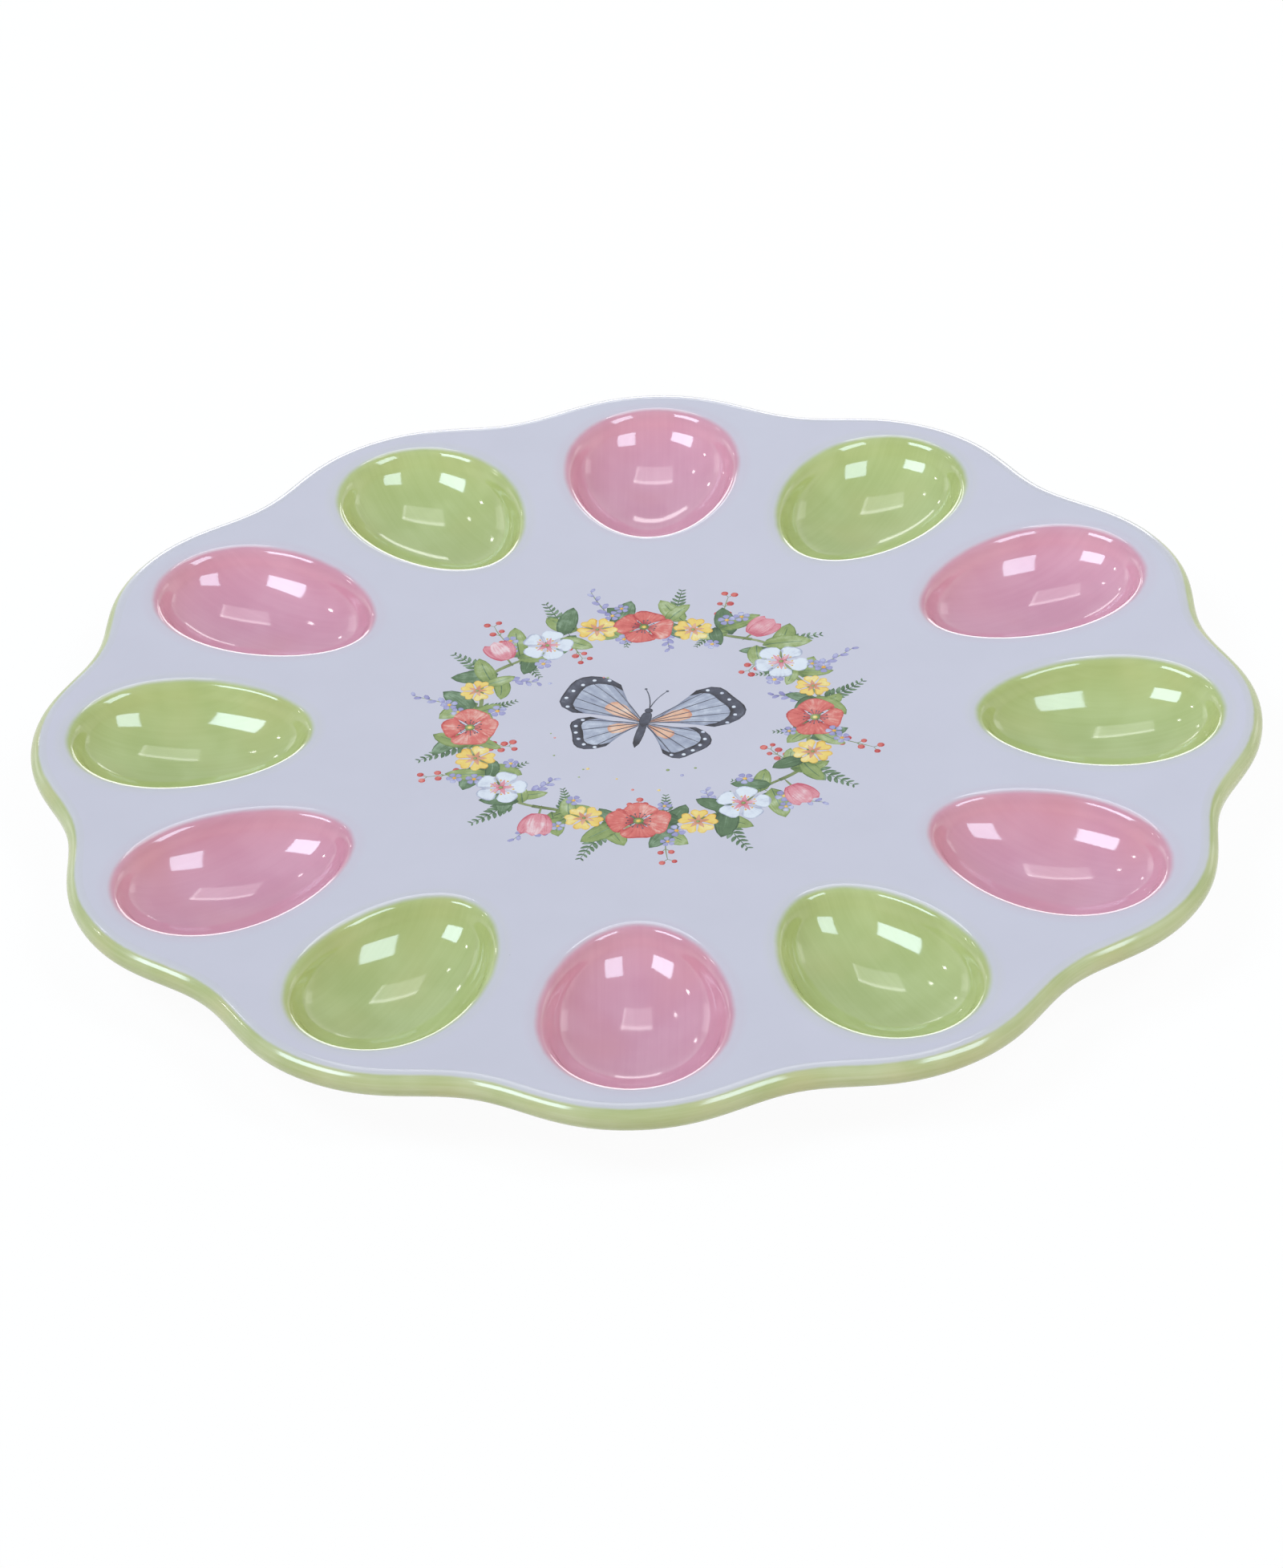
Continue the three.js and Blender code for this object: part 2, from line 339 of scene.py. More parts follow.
def glaze_surface_group():
    """Cloudy tone, specks, gloss and waviness that every coat shares."""
    tree, given, out = new_group(
        "Glaze surface",
        {"Colour": ("colour", (0.8, 0.8, 0.8, 1)), "Speck colour": ("colour", (0.1, 0.08, 0.06, 1)),
         "Cloud": ("value", 0.04), "Gloss": ("value", GLOSS), "Wave": ("value", 0.2)},
        {"Colour": "colour", "Roughness": "value", "Normal": "vector"})
    place = object_place(tree)
    cloud = noise(tree, place, 55.0, 4.0)
    darker = maths(tree, "MULTIPLY", maths(tree, "SUBTRACT", cloud, 0.5), given["Cloud"])
    tone = maths(tree, "ADD", 1.0, maths(tree, "MULTIPLY", darker, 2.0))
    clouded = add_node(tree, "ShaderNodeVectorMath", {0: given["Colour"], 1: tone}, operation="MULTIPLY")
    cells = add_node(tree, "ShaderNodeTexVoronoi", {"Vector": place, "Scale": 130.0})
    drawn = add_node(tree, "ShaderNodeSeparateColor", {"Color": cells.outputs["Color"]})
    chosen = maths(tree, "GREATER_THAN", drawn.outputs[0], SPECKLESS)
    size = maths(tree, "MULTIPLY_ADD", drawn.outputs[1], 0.02, 0.012)
    near = smooth_step(tree, cells.outputs["Distance"], size, maths(tree, "MULTIPLY", size, 0.5))
    speck = maths(tree, "MULTIPLY", maths(tree, "MULTIPLY", near, chosen), SPECK_STRENGTH)
    tree.links.new(blend(tree, speck, clouded.outputs[0], given["Speck colour"]), out["Colour"])
    rough = maths(tree, "MULTIPLY_ADD", noise(tree, place, 30.0, 2.0), 0.03, given["Gloss"])
    tree.links.new(rough, out["Roughness"])
    tree.links.new(bump(tree, noise(tree, place, 90.0, 1.5), given["Wave"]), out["Normal"])
    return tree


GLAZE_SURFACE = glaze_surface_group()
print("group:", GLAZE_SURFACE.name)

# %% [markdown]
# ## Brushed colour
# The pink and the green are painted on by hand. The paint starts on the lip in a soft, uneven edge, so that
# white shows along the break, in a white a little brighter than the deck: partly the clay through thin glaze,
# partly a painted highlight. Over the lip the paint is darker, a painted shade that evens the flat lip, which
# catches more light, with the steeper wall. Inside, the brush leaves long faint streaks. All this could be
# painted on a map. Here the mesh carries two facts for every corner instead: how far it is from the edge of
# the coat, and where it lies along the brush. A node group turns these into paint.

# %% Node group: brushed paint
# The break is a white a little brighter than the deck: partly the clay through thin glaze, partly a painted
# highlight.
BREAK_AND_SHEEN_FROM, BREAK_AND_SHEEN_TO = 0.5, 2.0  # millimetres from the edge of the coat, over which white turns to the break
# Over the lip the paint is darkened by Thin: a painted shade, as the flat lip catches more light than the
# wall.
LIP_FROM, LIP_TO = 3.5, 6.5  # likewise, over which the paint of the lip turns to that of the bowl
# The paint colour over the bare part carries on the deck's haze: a painted reflection of the well's colour.
HAZE_LEAST, HAZE_RISE = 0.06, 0.08  # how much paint strays onto the bare part


def brushed_paint_group():
    """Paint over white: a bright break at the edge, partly a painted highlight, painted shade over the lip,
    a soft start, brush streaks and cloudy depth.
    """
    tree, given, out = new_group(
        "Brushed paint",
        {"White": ("colour", (0.6, 0.6, 0.7, 1)), "Break and sheen": ("colour", (0.8, 0.8, 0.8, 1)),
         "Pale": ("colour", (0.6, 0.4, 0.5, 1)),
         "Deep": ("colour", (0.5, 0.3, 0.4, 1)), "Warm": ("colour", (0.6, 0.3, 0.3, 1)),
         "From edge": ("value", 0.0), "Brush": ("vector", (0, 0, 0)),
         "Edge": ("value", 1.0), "Softness": ("value", 1.0), "Wander": ("value", 0.8),
         "Streak": ("value", 0.5), "Thin": ("value", 0.0)},
        {"Colour": "colour"})
    wander = noise(tree, given["Brush"], 0.16, 3.0)
    shift = maths(tree, "MULTIPLY", maths(tree, "SUBTRACT", wander, 0.5), given["Wander"])
    edge = maths(tree, "ADD", given["Edge"], maths(tree, "MULTIPLY", shift, 2.0))
    cover = smooth_step(tree, given["From edge"], edge, maths(tree, "ADD", edge, given["Softness"]))
    drawn_out = add_node(tree, "ShaderNodeMapping", {"Vector": given["Brush"], "Scale": (0.03, 0.8, 1.0)})
    fine = smooth_step(tree, noise(tree, drawn_out.outputs[0], 1.0, 5.0, roughness=0.6), 0.3, 0.7)
    pool = smooth_step(tree, noise(tree, given["Brush"], 0.06, 2.0), 0.35, 0.65)
    depth = maths(tree, "ADD", maths(tree, "MULTIPLY", fine, given["Streak"]),
                  maths(tree, "MULTIPLY", pool, maths(tree, "SUBTRACT", 1.0, given["Streak"])))
    paint = blend(tree, depth, given["Pale"], given["Deep"])
    drifts = smooth_step(tree, noise(tree, given["Brush"], 0.045, 1.0), 0.45, 0.8)
    warmed = blend(tree, maths(tree, "MULTIPLY", drifts, 0.6), paint, given["Warm"])
    # Painted shade: over the flat lip, which catches more light than the wall, the paint is darkened by Thin.
    lip_shade_share = smooth_step(tree, given["From edge"], LIP_TO, LIP_FROM)
    painted_lip_shade = maths(tree, "SUBTRACT", 1.0, maths(tree, "MULTIPLY", lip_shade_share, given["Thin"]))
    lip_shaded = add_node(tree, "ShaderNodeVectorMath", {0: warmed, 1: painted_lip_shade}, operation="MULTIPLY").outputs[0]
    # The break: a white a little brighter than the deck's, partly a painted highlight along the edge.
    on_break_and_sheen = smooth_step(tree, given["From edge"], BREAK_AND_SHEEN_FROM, BREAK_AND_SHEEN_TO)
    bare = blend(tree, on_break_and_sheen, given["White"], given["Break and sheen"])
    # Haze: a little paint colour over the bare part, a painted reflection of the paint onto the white.
    inward = smooth_step(tree, given["From edge"], 0.0, BREAK_AND_SHEEN_TO)
    haze = maths(tree, "MULTIPLY_ADD", inward, HAZE_RISE, HAZE_LEAST)
    hazy = blend(tree, haze, bare, lip_shaded)
    tree.links.new(blend(tree, cover, hazy, lip_shaded), out["Colour"])
    return tree


BRUSHED_PAINT = brushed_paint_group()
print("group:", BRUSHED_PAINT.name)

# %% Helpers for glaze materials
WHITE = srgb(204, 197, 209)
# Partly the pale clay through thin glaze, partly a painted highlight along the lip's edge.
BREAK_AND_SHEEN = srgb(206, 200, 211)  # the glaze runs thin over an edge, and the pale clay shows through
GLAZE_IOR = 1.65
GLAZE_CLOUD = 0.03
# The haze round a well: a tint of its colour on the white, a painted reflection of the well.
PAINTED_WELL_REFLECTION = {"pink_haze": srgb(208, 160, 178), "green_haze": srgb(196, 196, 150)}  # strayed onto the white
PAINTED_WELL_REFLECTION_STRENGTH = 0.16


def new_material(name):
    """A material with nothing in it but its shader, with the gloss of glaze."""
    material = bpy.data.materials.new(name)
    material.use_nodes = True
    shader = material.node_tree.nodes["Principled BSDF"]
    shader.inputs["IOR"].default_value = GLAZE_IOR
    return material, material.node_tree, shader


def dress(tree, shader, colour, **values):
    """Puts the glaze surface between a colour and the shader."""
    surface = add_node(tree, "ShaderNodeGroup", {"Colour": colour, **values}, node_tree=GLAZE_SURFACE)
    for output, target in (("Colour", "Base Color"), ("Roughness", "Roughness"), ("Normal", "Normal")):
        tree.links.new(surface.outputs[output], shader.inputs[target])


def read_value(tree, name, output="Fac"):
    return add_node(tree, "ShaderNodeAttribute", attribute_name=name).outputs[output]


print("glaze: index of refraction", GLAZE_IOR)

# %% Materials: white and painted glaze
def white_glaze():
    """White, tinted with the neighbouring well's colour round each well: a painted reflection of the well."""
    material, tree, shader = new_material("white_glaze")
    colour = WHITE
    for haze, reflected_tint in PAINTED_WELL_REFLECTION.items():
        share = maths(tree, "MULTIPLY", read_value(tree, haze), PAINTED_WELL_REFLECTION_STRENGTH)
        colour = blend(tree, share, colour, reflected_tint)
    dress(tree, shader, colour, Cloud=GLAZE_CLOUD)
    return material


def painted_glaze(name, pale, deep, warm, gloss=GLOSS, **values):
    """Brushed colour on white, over the whole of a well's or the rim's coat."""
    material, tree, shader = new_material(name)
    inputs = {"White": WHITE, "Break and sheen": BREAK_AND_SHEEN, "Pale": pale, "Deep": deep, "Warm": warm,
              "From edge": read_value(tree, "from_edge"), "Brush": read_value(tree, "brush", "Vector")}
    paint = add_node(tree, "ShaderNodeGroup", {**inputs, **values}, node_tree=BRUSHED_PAINT)
    dress(tree, shader, paint.outputs["Colour"], Cloud=GLAZE_CLOUD, Gloss=gloss)
    return material


white = white_glaze()
# Thin darkens the paint over each well's lip, a painted shade.
pink = painted_glaze("pink_well_glaze", srgb(221, 160, 178), srgb(213, 147, 167), srgb(219, 152, 163),
                     Edge=0.9, Softness=1.9, Wander=0.3, Streak=0.3, Thin=0.11)
green = painted_glaze("green_well_glaze", srgb(190, 198, 136), srgb(176, 185, 118), srgb(190, 189, 124),
                      Edge=0.9, Softness=1.9, Wander=0.3, Streak=0.3, Thin=0.09)
band_green = painted_glaze("rim_band_glaze", srgb(194, 195, 152), srgb(172, 178, 120), srgb(196, 188, 138),
                           Edge=1.7, Softness=0.9, Wander=0.25, Streak=0.5, gloss=0.11)
print("glazes:", white.name, pink.name, green.name, band_green.name)

# %% [markdown]
# ## Bisque
# Only the foot shows bare clay: it is wiped before firing so that the plate doesn't stick to the kiln shelf.
# Fired earthenware is matt, warm and grainy. A picture of clay could be wrapped round the foot, but it would
# stretch there. Two noises, one coarse for the tone and one fine for the grain, look the same from all sides.

# %% Material: bisque
def bisque():
    material, tree, shader = new_material("bisque")
    place = object_place(tree)
    grain, patch = noise(tree, place, 900.0, 4.0), noise(tree, place, 60.0, 3.0)
    tone = blend(tree, patch, srgb(222, 208, 188), srgb(238, 228, 212))
    speckled = blend(tree, smooth_step(tree, grain, 0.62, 0.75), tone, srgb(190, 170, 146))
    tree.links.new(speckled, shader.inputs["Base Color"])
    tree.links.new(maths(tree, "MULTIPLY_ADD", grain, 0.2, 0.7), shader.inputs["Roughness"])
    tree.links.new(bump(tree, grain, 0.4), shader.inputs["Normal"])
    return material


clay = bisque()
print("bare clay:", clay.name)

# %% [markdown]
# ## Wells
# A well is the lower part of an egg, sunk into the deck, with a rounded lip. A sphere scaled to fit would be
# round at both ends, and a boolean would leave ragged faces, so the lining is a stack of egg loops: over the
# lip, down the wall and in to a pole at the floor. The inner stack is the same well, one coat deeper in the
# clay. The egg below is chosen so that its wall has the lip's slope where the two meet. The CAD model's lip
# is a plain rounding. Glaze flows, so here the deck rolls in gently and turns down ever faster, and the loops
# where lip and bowl meet are drawn towards their neighbours until the turn has melted away. A crease there
# would break every reflection that crosses it.

# %% Measures of lip and bowl
LIP_STEPS = 14
BOWL_STEPS = 30
MELT_FROM, MELT_TO = LIP_STEPS - 5, LIP_STEPS + 4  # the loops on both sides of where lip and bowl meet
MELT_PASSES = 16
LIP_STRETCH = 1.8  # how much longer than high the roll of the lip is
lip_inset, lip_drop = LIP * math.sin(LIP_TURN), LIP * (1 - math.cos(LIP_TURN))
bowl_drop = WELL_DEPTH - lip_drop
bowl_mean = math.sqrt((WELL_HALF_LENGTH - lip_inset) * (WELL_HALF_WIDTH - lip_inset))
BOWL_REACH = math.acos(1 / (math.tan(LIP_TURN) * bowl_mean / bowl_drop - 1))  # floor to lip, as an angle
BOWL_HALF_LENGTH = (WELL_HALF_LENGTH - lip_inset) / math.sin(BOWL_REACH)
BOWL_HALF_WIDTH = (WELL_HALF_WIDTH - lip_inset) / math.sin(BOWL_REACH)
BOWL_HEIGHT = bowl_drop / (1 - math.cos(BOWL_REACH))
BOWL_MIDDLE = DECK - WELL_DEPTH + BOWL_HEIGHT
ROLL_END = math.atan(LIP_STRETCH * math.tan(LIP_TURN))
ROLL_HEIGHT = lip_drop / (1 - math.cos(ROLL_END))
ROLL_LENGTH = LIP_STRETCH * ROLL_HEIGHT
roll_past_lip = ROLL_LENGTH * math.sin(ROLL_END) - lip_inset
MOUTH_HALF_LENGTH, MOUTH_HALF_WIDTH = WELL_HALF_LENGTH + roll_past_lip, WELL_HALF_WIDTH + roll_past_lip
print(f"mouth of a well: {2 * MOUTH_HALF_LENGTH:.1f} by {2 * MOUTH_HALF_WIDTH:.1f} mm")

# %% Well linings
def melted_together(loops):
    """Evens out the turn where the lip meets the bowl, by moving each loop there towards its neighbours."""
    stack = np.array(loops)
    for _ in range(MELT_PASSES):
        middle = (stack[MELT_FROM - 1:MELT_TO - 1] + stack[MELT_FROM + 1:MELT_TO + 1]) / 2
        stack[MELT_FROM:MELT_TO] = (stack[MELT_FROM:MELT_TO] + middle) / 2
    return list(stack)


def well_loops(offset):
    """Loops from the mouth of a well to its floor. A larger offset lies deeper in the clay."""
    loops = []
    for roll in np.linspace(0, ROLL_END, LIP_STEPS + 1)[:-1]:
        slope = math.atan(math.tan(roll) / LIP_STRETCH)
        inset = ROLL_LENGTH * math.sin(roll) - offset * math.sin(slope)
        height = DECK - ROLL_HEIGHT * (1 - math.cos(roll)) - offset * math.cos(slope)
        loops.append(at_height(egg(MOUTH_HALF_LENGTH - inset, MOUTH_HALF_WIDTH - inset), height))
    for tilt in np.linspace(BOWL_REACH, 0, BOWL_STEPS + 1)[:-1]:
        height = BOWL_MIDDLE - (BOWL_HEIGHT + offset) * math.cos(tilt)
        half_length = (BOWL_HALF_LENGTH + offset) * math.sin(tilt)
        half_width = (BOWL_HALF_WIDTH + offset) * math.sin(tilt)
        loops.append(at_height(egg(half_length, half_width), height))
    return melted_together(loops) + [np.array([[0, 0, DECK - WELL_DEPTH - offset]])]


def run_length(loops):
    """How far each corner lies from the first loop, measured along the skin."""
    total, lengths = np.zeros(len(loops[0])), []
    for here, there in zip([loops[0]] + loops, loops):
        step = np.linalg.norm(there - here, axis=1)
        total = total + step if len(there) > 1 else np.array([np.mean(total + step)])
        lengths.append(total)
    return np.concatenate(lengths)


SEED_STEP = 37.0  # keeps the brush marks of one well apart from those of the next
for number in range(WELLS):
    coat, seat = well_loops(0), well_loops(GLAZE)
    own_corners, faces = shell(coat, seat)
    from_edge = np.concatenate([run_length(coat), run_length(seat)[::-1]])
    brush = at_height(own_corners[:, :2], SEED_STEP * number)
    kind = "green" if number % 2 else "pink"
    node = f"{kind}_well_glaze_{number + 1:02d}"
    make_piece(f"lining_{number + 1:02d}_{kind}", (place_in_well(own_corners, number), faces),
               green if number % 2 else pink, [node],
               {"from_edge": from_edge, "brush": brush})

# %% [markdown]
# ## Deck
# The white coat is a flat sheet with an egg cut out for every well. Blender could fill it with one large
# many-sided face, but such a face shades badly and exports worse. Points are spread over the sheet instead,
# and joined into even triangles that keep to the outlines. A few rows of points round every well carry the
# haze: a breath of the well's colour past the lip, a painted reflection of the well on the white.

# %% Points on the deck
HAZE_ROWS = {0.0: 0.6, 0.9: 0.3, 2.0: 0.0}  # distance outside the lip, and how much haze is left
DECK_SPACING = 7.0
CLEAR = 5.5  # loose points keep this far from every outline


def inside_egg(points, number, grow):
    return egg_share(points, number, MOUTH_HALF_LENGTH + grow, MOUTH_HALF_WIDTH + grow) < 1


def inside_scallop(points, inset):
    edge = scallop(inset)
    edge_turn = np.arctan2(edge[:, 1], edge[:, 0])
    order = np.argsort(edge_turn)
    reach = np.interp(np.arctan2(points[:, 1], points[:, 0]), edge_turn[order],
                      np.hypot(*edge[order].T), period=2 * math.pi)
    return np.hypot(points[:, 0], points[:, 1]) < reach


def loose_points():
    """An even field of points over the deck, clear of its outlines."""
    steps = np.arange(-LOBE_RADIUS, LOBE_RADIUS, DECK_SPACING)
    field = np.array([(x + (row % 2) * DECK_SPACING / 2, y) for row, y in enumerate(steps) for x in steps])
    keep = inside_scallop(field, BAND + CLEAR)
    for number in range(WELLS):
        keep &= ~inside_egg(field, number, CLEAR)
    return field[keep]


deck_field = loose_points()
print("loose points on the deck:", len(deck_field))

# %% Deck sheet
ALL_TRIANGLES, INSIDE_FACES = 0, 1  # what delaunay_2d_cdt puts out
DECK_TOLERANCE = 1e-6  # points that lie closer than this become one


def deck_sheet():
    """Points, triangles and haze of the flat sheet, seen from above."""
    points, edges, haze = [], [], []

    def add_ring(outline, pink_share=0.0, green_share=0.0):
        first = sum(len(group) for group in points)
        points.append(outline)
        edges.extend((first + i, first + (i + 1) % len(outline)) for i in range(len(outline)))
        haze.extend([(pink_share, green_share)] * len(outline))

    add_ring(scallop(BAND))
    for number in range(WELLS):
        for distance, share in HAZE_ROWS.items():
            mouth = egg(MOUTH_HALF_LENGTH + distance, MOUTH_HALF_WIDTH + distance)
            outline = place_in_well(at_height(mouth, DECK), number)[:, :2]
            add_ring(outline, 0.0 if number % 2 else share, share if number % 2 else 0.0)
    points.append(deck_field)
    haze.extend([(0.0, 0.0)] * len(deck_field))
    flat = np.concatenate(points)
    _, _, faces, sources, _, _ = delaunay_2d_cdt([Vector(point) for point in flat], edges, [],
                                                 ALL_TRIANGLES, DECK_TOLERANCE)
    origin = [source[0] for source in sources]
    triangles = np.array([[origin[corner] for corner in face] for face in faces])
    middles = flat[triangles].mean(axis=1)
    keep = inside_scallop(middles, BAND)
    for number in range(WELLS):
        keep &= ~inside_egg(middles, number, 0)
    return flat, triangles[keep].tolist(), np.array(haze)


def sheet_shell(flat, triangles, top, bottom):
    """A flat sheet with a top, a bottom and walls round its outlines."""
    count = len(flat)
    sides = {(a, b) for face in triangles for a, b in zip(face, face[1:] + face[:1])}
    walls = [[a, b, b + count, a + count] for a, b in sides if (b, a) not in sides]
    lower = [[corner + count for corner in reversed(face)] for face in triangles]
    return np.concatenate([at_height(flat, top), at_height(flat, bottom)]), triangles + lower + walls


deck_flat, deck_triangles, deck_haze = deck_sheet()
make_piece("deck_coat", sheet_shell(deck_flat, deck_triangles, DECK, DECK - GLAZE), white,
           ["deck_glaze"],
           {"pink_haze": np.tile(deck_haze[:, 0], 2), "green_haze": np.tile(deck_haze[:, 1], 2)})

# %% [markdown]
# ## Rim
# The band is the edge of the disc, rounded below and rolled over more gently above, where the deck's glaze
# flows out to it. Its section is walked once, from the deck round to the underside, and every point of the
# walk becomes a loop of the scalloped outline. A bevel would do for a round plate, but on a scallop it
# bunches up at the dips. The brush went round the plate, so the streaks follow the rim. The green starts
# lower round the back, where no green shows from the front: the white left there is a painted reflection,
# standing in for the white that the far rim mirrors.

# %% Rim band
ROUND_STEPS = 10
# Painted reflection: the green starts lower at the back, leaving white where the far rim mirrors white.
LOWERED_FOR_REFLECTION = 1.6  # how much lower the green starts at the back
BACK_FROM, BACK_TO = 0.2, 0.75  # the sine of the place on the rim, over which it gets lower


def rim_loops(depth):
    """Loops from the deck's edge round the rim to the underside, a depth below the finished surface."""
    middle = DECK - RIM_THICKNESS / 2
    rise = (RIM_THICKNESS - RIM_FLAT) / 2 - depth
    halves = []
    for side, reach in ((1, RIM_ROLL), (-1, RIM_ROUND)):
        half = [(BAND, middle + side * (RIM_FLAT / 2 + rise))]
        for tilt in np.linspace(0, math.pi / 2, ROUND_STEPS + 1):
            inset = reach - (reach - depth) * math.sin(tilt)
            half.append((inset, middle + side * (RIM_FLAT / 2 + rise * math.cos(tilt))))
        halves.append(half)
    section = halves[0] + halves[1][::-1]
    return [at_height(scallop(inset), height) for inset, height in section]


rim_coat, rim_seat = rim_loops(0), rim_loops(GLAZE)
rim_corners, rim_faces = shell(rim_coat, rim_seat)
rim_from_edge = np.concatenate([run_length(rim_coat), run_length(rim_seat)[::-1]])
corner_turn = np.tile(rim_turn, 2 * len(rim_coat))
rim_brush = np.column_stack([corner_turn * LOBE_RADIUS, rim_from_edge, np.zeros(len(rim_corners))])
# The back of the band is left white, a painted reflection of the white that the far rim mirrors.
behind = np.clip((np.sin(corner_turn) - BACK_FROM) / (BACK_TO - BACK_FROM), 0, 1)
rim_paint = rim_from_edge - LOWERED_FOR_REFLECTION * behind ** 2 * (3 - 2 * behind)
make_piece("rim_band", (rim_corners, rim_faces), band_green, ["rim_glaze"],
           {"from_edge": rim_paint, "brush": rim_brush})

# %% [markdown]
# ## Underside
# Below the deck the wells bulge out and a foot ring carries the plate. Joining egg shapes to a disc with
# booleans would leave hard creases where glaze flows into soft ones, so the underside is one field of
# heights: the lower of the flat and the bulges, blended over a few millimetres. Loops lead from the scalloped
# rim in to the round foot.

# %% Bulges and foot
FILLET_LOOPS = 6
FOOT_LOOPS = 5
CREASE = 2.2  # how far a bulge blends into the flat


def bulge_depth(points, depth):
    """How far the underside hangs below the deck at each point, a depth inside the finished surface."""
    flat = RIM_THICKNESS - depth
    hang = np.full(len(points), flat)
    reach = WALL - depth
    for number in range(WELLS):
        share = egg_share(points, number, BOWL_HALF_LENGTH + reach, BOWL_HALF_WIDTH + reach)
        inside = np.clip(1 - share, 0, None)
        bulge = DECK - BOWL_MIDDLE + (BOWL_HEIGHT + reach) * np.sqrt(inside)
        mix = np.clip(0.5 + (bulge - hang) / (2 * CREASE), 0, 1)
        hang = hang + (bulge - hang) * mix + CREASE * mix * (1 - mix) * (inside > 0)
    return hang


def foot_side(height, outward, depth):
    """Radius of the foot ring's clay at a height, on its outer (1) or inner (-1) side, under a coat."""
    lean = FOOT_DRAFT * (1 - height / (DECK - RIM_THICKNESS / 2))
    middle, half = FOOT_RADIUS - FOOT_WIDTH / 2, FOOT_WIDTH / 2
    return middle + outward * (half - lean + GLAZE - depth)


def foot_loops(outward, depth):
    """Loops down one side of the foot, from a fillet at the underside to the edge of the glaze."""
    root = UNDERSIDE + depth
    loops = []
    for tilt in np.linspace(0, math.pi / 2, FILLET_LOOPS):
        height = root - FOOT_FILLET * (1 - math.cos(tilt))
        swing = FOOT_FILLET * (1 - math.sin(tilt))
        loops.append(at_height(circle(foot_side(height, outward, depth) + outward * swing), height))
    for height in np.linspace(root - FOOT_FILLET, FOOT_BARE, FOOT_LOOPS)[1:]:
        loops.append(at_height(circle(foot_side(height, outward, depth)), height))
    return loops


deepest = bulge_depth(place_in_well(np.zeros((1, 3)), 0), 0)[0]
print(f"below the middle of a well the underside hangs {deepest:.1f} mm under the deck")

# %% Loops of underside, base and bare clay
BACK_LOOPS = 60
BASE_LOOPS = 14


def back_loops(depth):
    """Loops from the rim over the bulges to the foot."""
    edge, foot = scallop(BAND), foot_loops(1, depth)
    loops = []
    for share in np.linspace(0, 1, BACK_LOOPS + 1)[:-1]:
        outline = edge + (foot[0][:, :2] - edge) * share
        loops.append(at_height(outline, DECK - bulge_depth(outline, depth)))
    loops[0][:, 2] = UNDERSIDE + depth
    return loops + foot


def base_loops(depth):
    """Loops from the foot's inner edge up and in to the middle of the base."""
    foot = foot_loops(-1, depth)[::-1]
    root = np.hypot(*foot[-1][0, :2])
    height = UNDERSIDE + depth
    disc = [at_height(circle(root * share), height) for share in np.linspace(1, 0, BASE_LOOPS)[1:-1]]
    return foot + disc + [np.array([[0, 0, height]])]


def ground_loops():
    """Loops of bare clay round the foot, from the outer edge of the glaze to the inner."""
    section = []
    for outward in (1, -1):
        side = [(foot_side(FOOT_BARE, outward, GLAZE), FOOT_BARE),
                (foot_side(FOOT_CHAMFER, outward, GLAZE), FOOT_CHAMFER),
                (foot_side(0, outward, GLAZE) - outward * FOOT_CHAMFER, 0)]
        section += side if outward == 1 else side[::-1]
    return [at_height(circle(radius), height) for radius, height in section]


print("underside:", len(back_loops(0)), "loops; base:", len(base_loops(0)), "loops")

# %% Underside coat, base coat and clay
def plain_haze(form):
    return {"pink_haze": np.zeros(len(form[0])), "green_haze": np.zeros(len(form[0]))}


back_form = shell(back_loops(0), back_loops(GLAZE))
make_piece("underside_coat", back_form, white, ["back_glaze"], plain_haze(back_form))
base_form = shell(base_loops(0), base_loops(GLAZE))
make_piece("base_coat", base_form, white, ["base_glaze"], plain_haze(base_form))
clay_skins = [(at_height(deck_flat, DECK - GLAZE), deck_triangles), skin(rim_seat), skin(back_loops(GLAZE)),
              skin(ground_loops()), skin(base_loops(GLAZE))]
for number in range(WELLS):
    well_corners, well_faces = skin(well_loops(GLAZE))
    clay_skins.append((place_in_well(well_corners, number), well_faces))
make_piece("clay_body", joined(clay_skins), clay, ["earthenware_body"], weld=True)

# %% [markdown]
# ## Printed design
# The middle of the plate carries a flower print, fired on from a thin film and melted into the glaze. A
# picture could be wrapped over the disc, but it would blur when seen close and would be a file to carry
# along. So the print is cut like paper: every petal, leaf and stem is an outline on the film, and a later
# outline hides what it covers. The next cells draw the outlines as small grids of points, which also know
# which way the brush went.

# %% Strokes
PRINT_SEED = 7
hand = random.Random(PRINT_SEED)
print_shapes = []  # pigment, grid of points, tone


def lay(pigment, grid, tone=0.0):
    """Adds a shape to the print, over all that were added before it."""
    print_shapes.append((pigment, grid, tone + hand.uniform(-0.15, 0.15)))


def polar(centre, turn, distance):
    return np.array([centre[0] + distance * math.cos(turn), centre[1] + distance * math.sin(turn)])


def ribbon(spine, half_widths, columns=3):
    """A grid along a line of points, with a half width at each of them."""
    slope = np.gradient(spine, axis=0)
    slope = slope / np.linalg.norm(slope, axis=1)[:, None]
    across = np.linspace(-1, 1, columns)[None, :, None] * np.asarray(half_widths)[:, None, None]
    return spine[:, None] + across * np.column_stack([-slope[:, 1], slope[:, 0]])[:, None]


FINEST = 0.07  # no brush leaves a thinner point


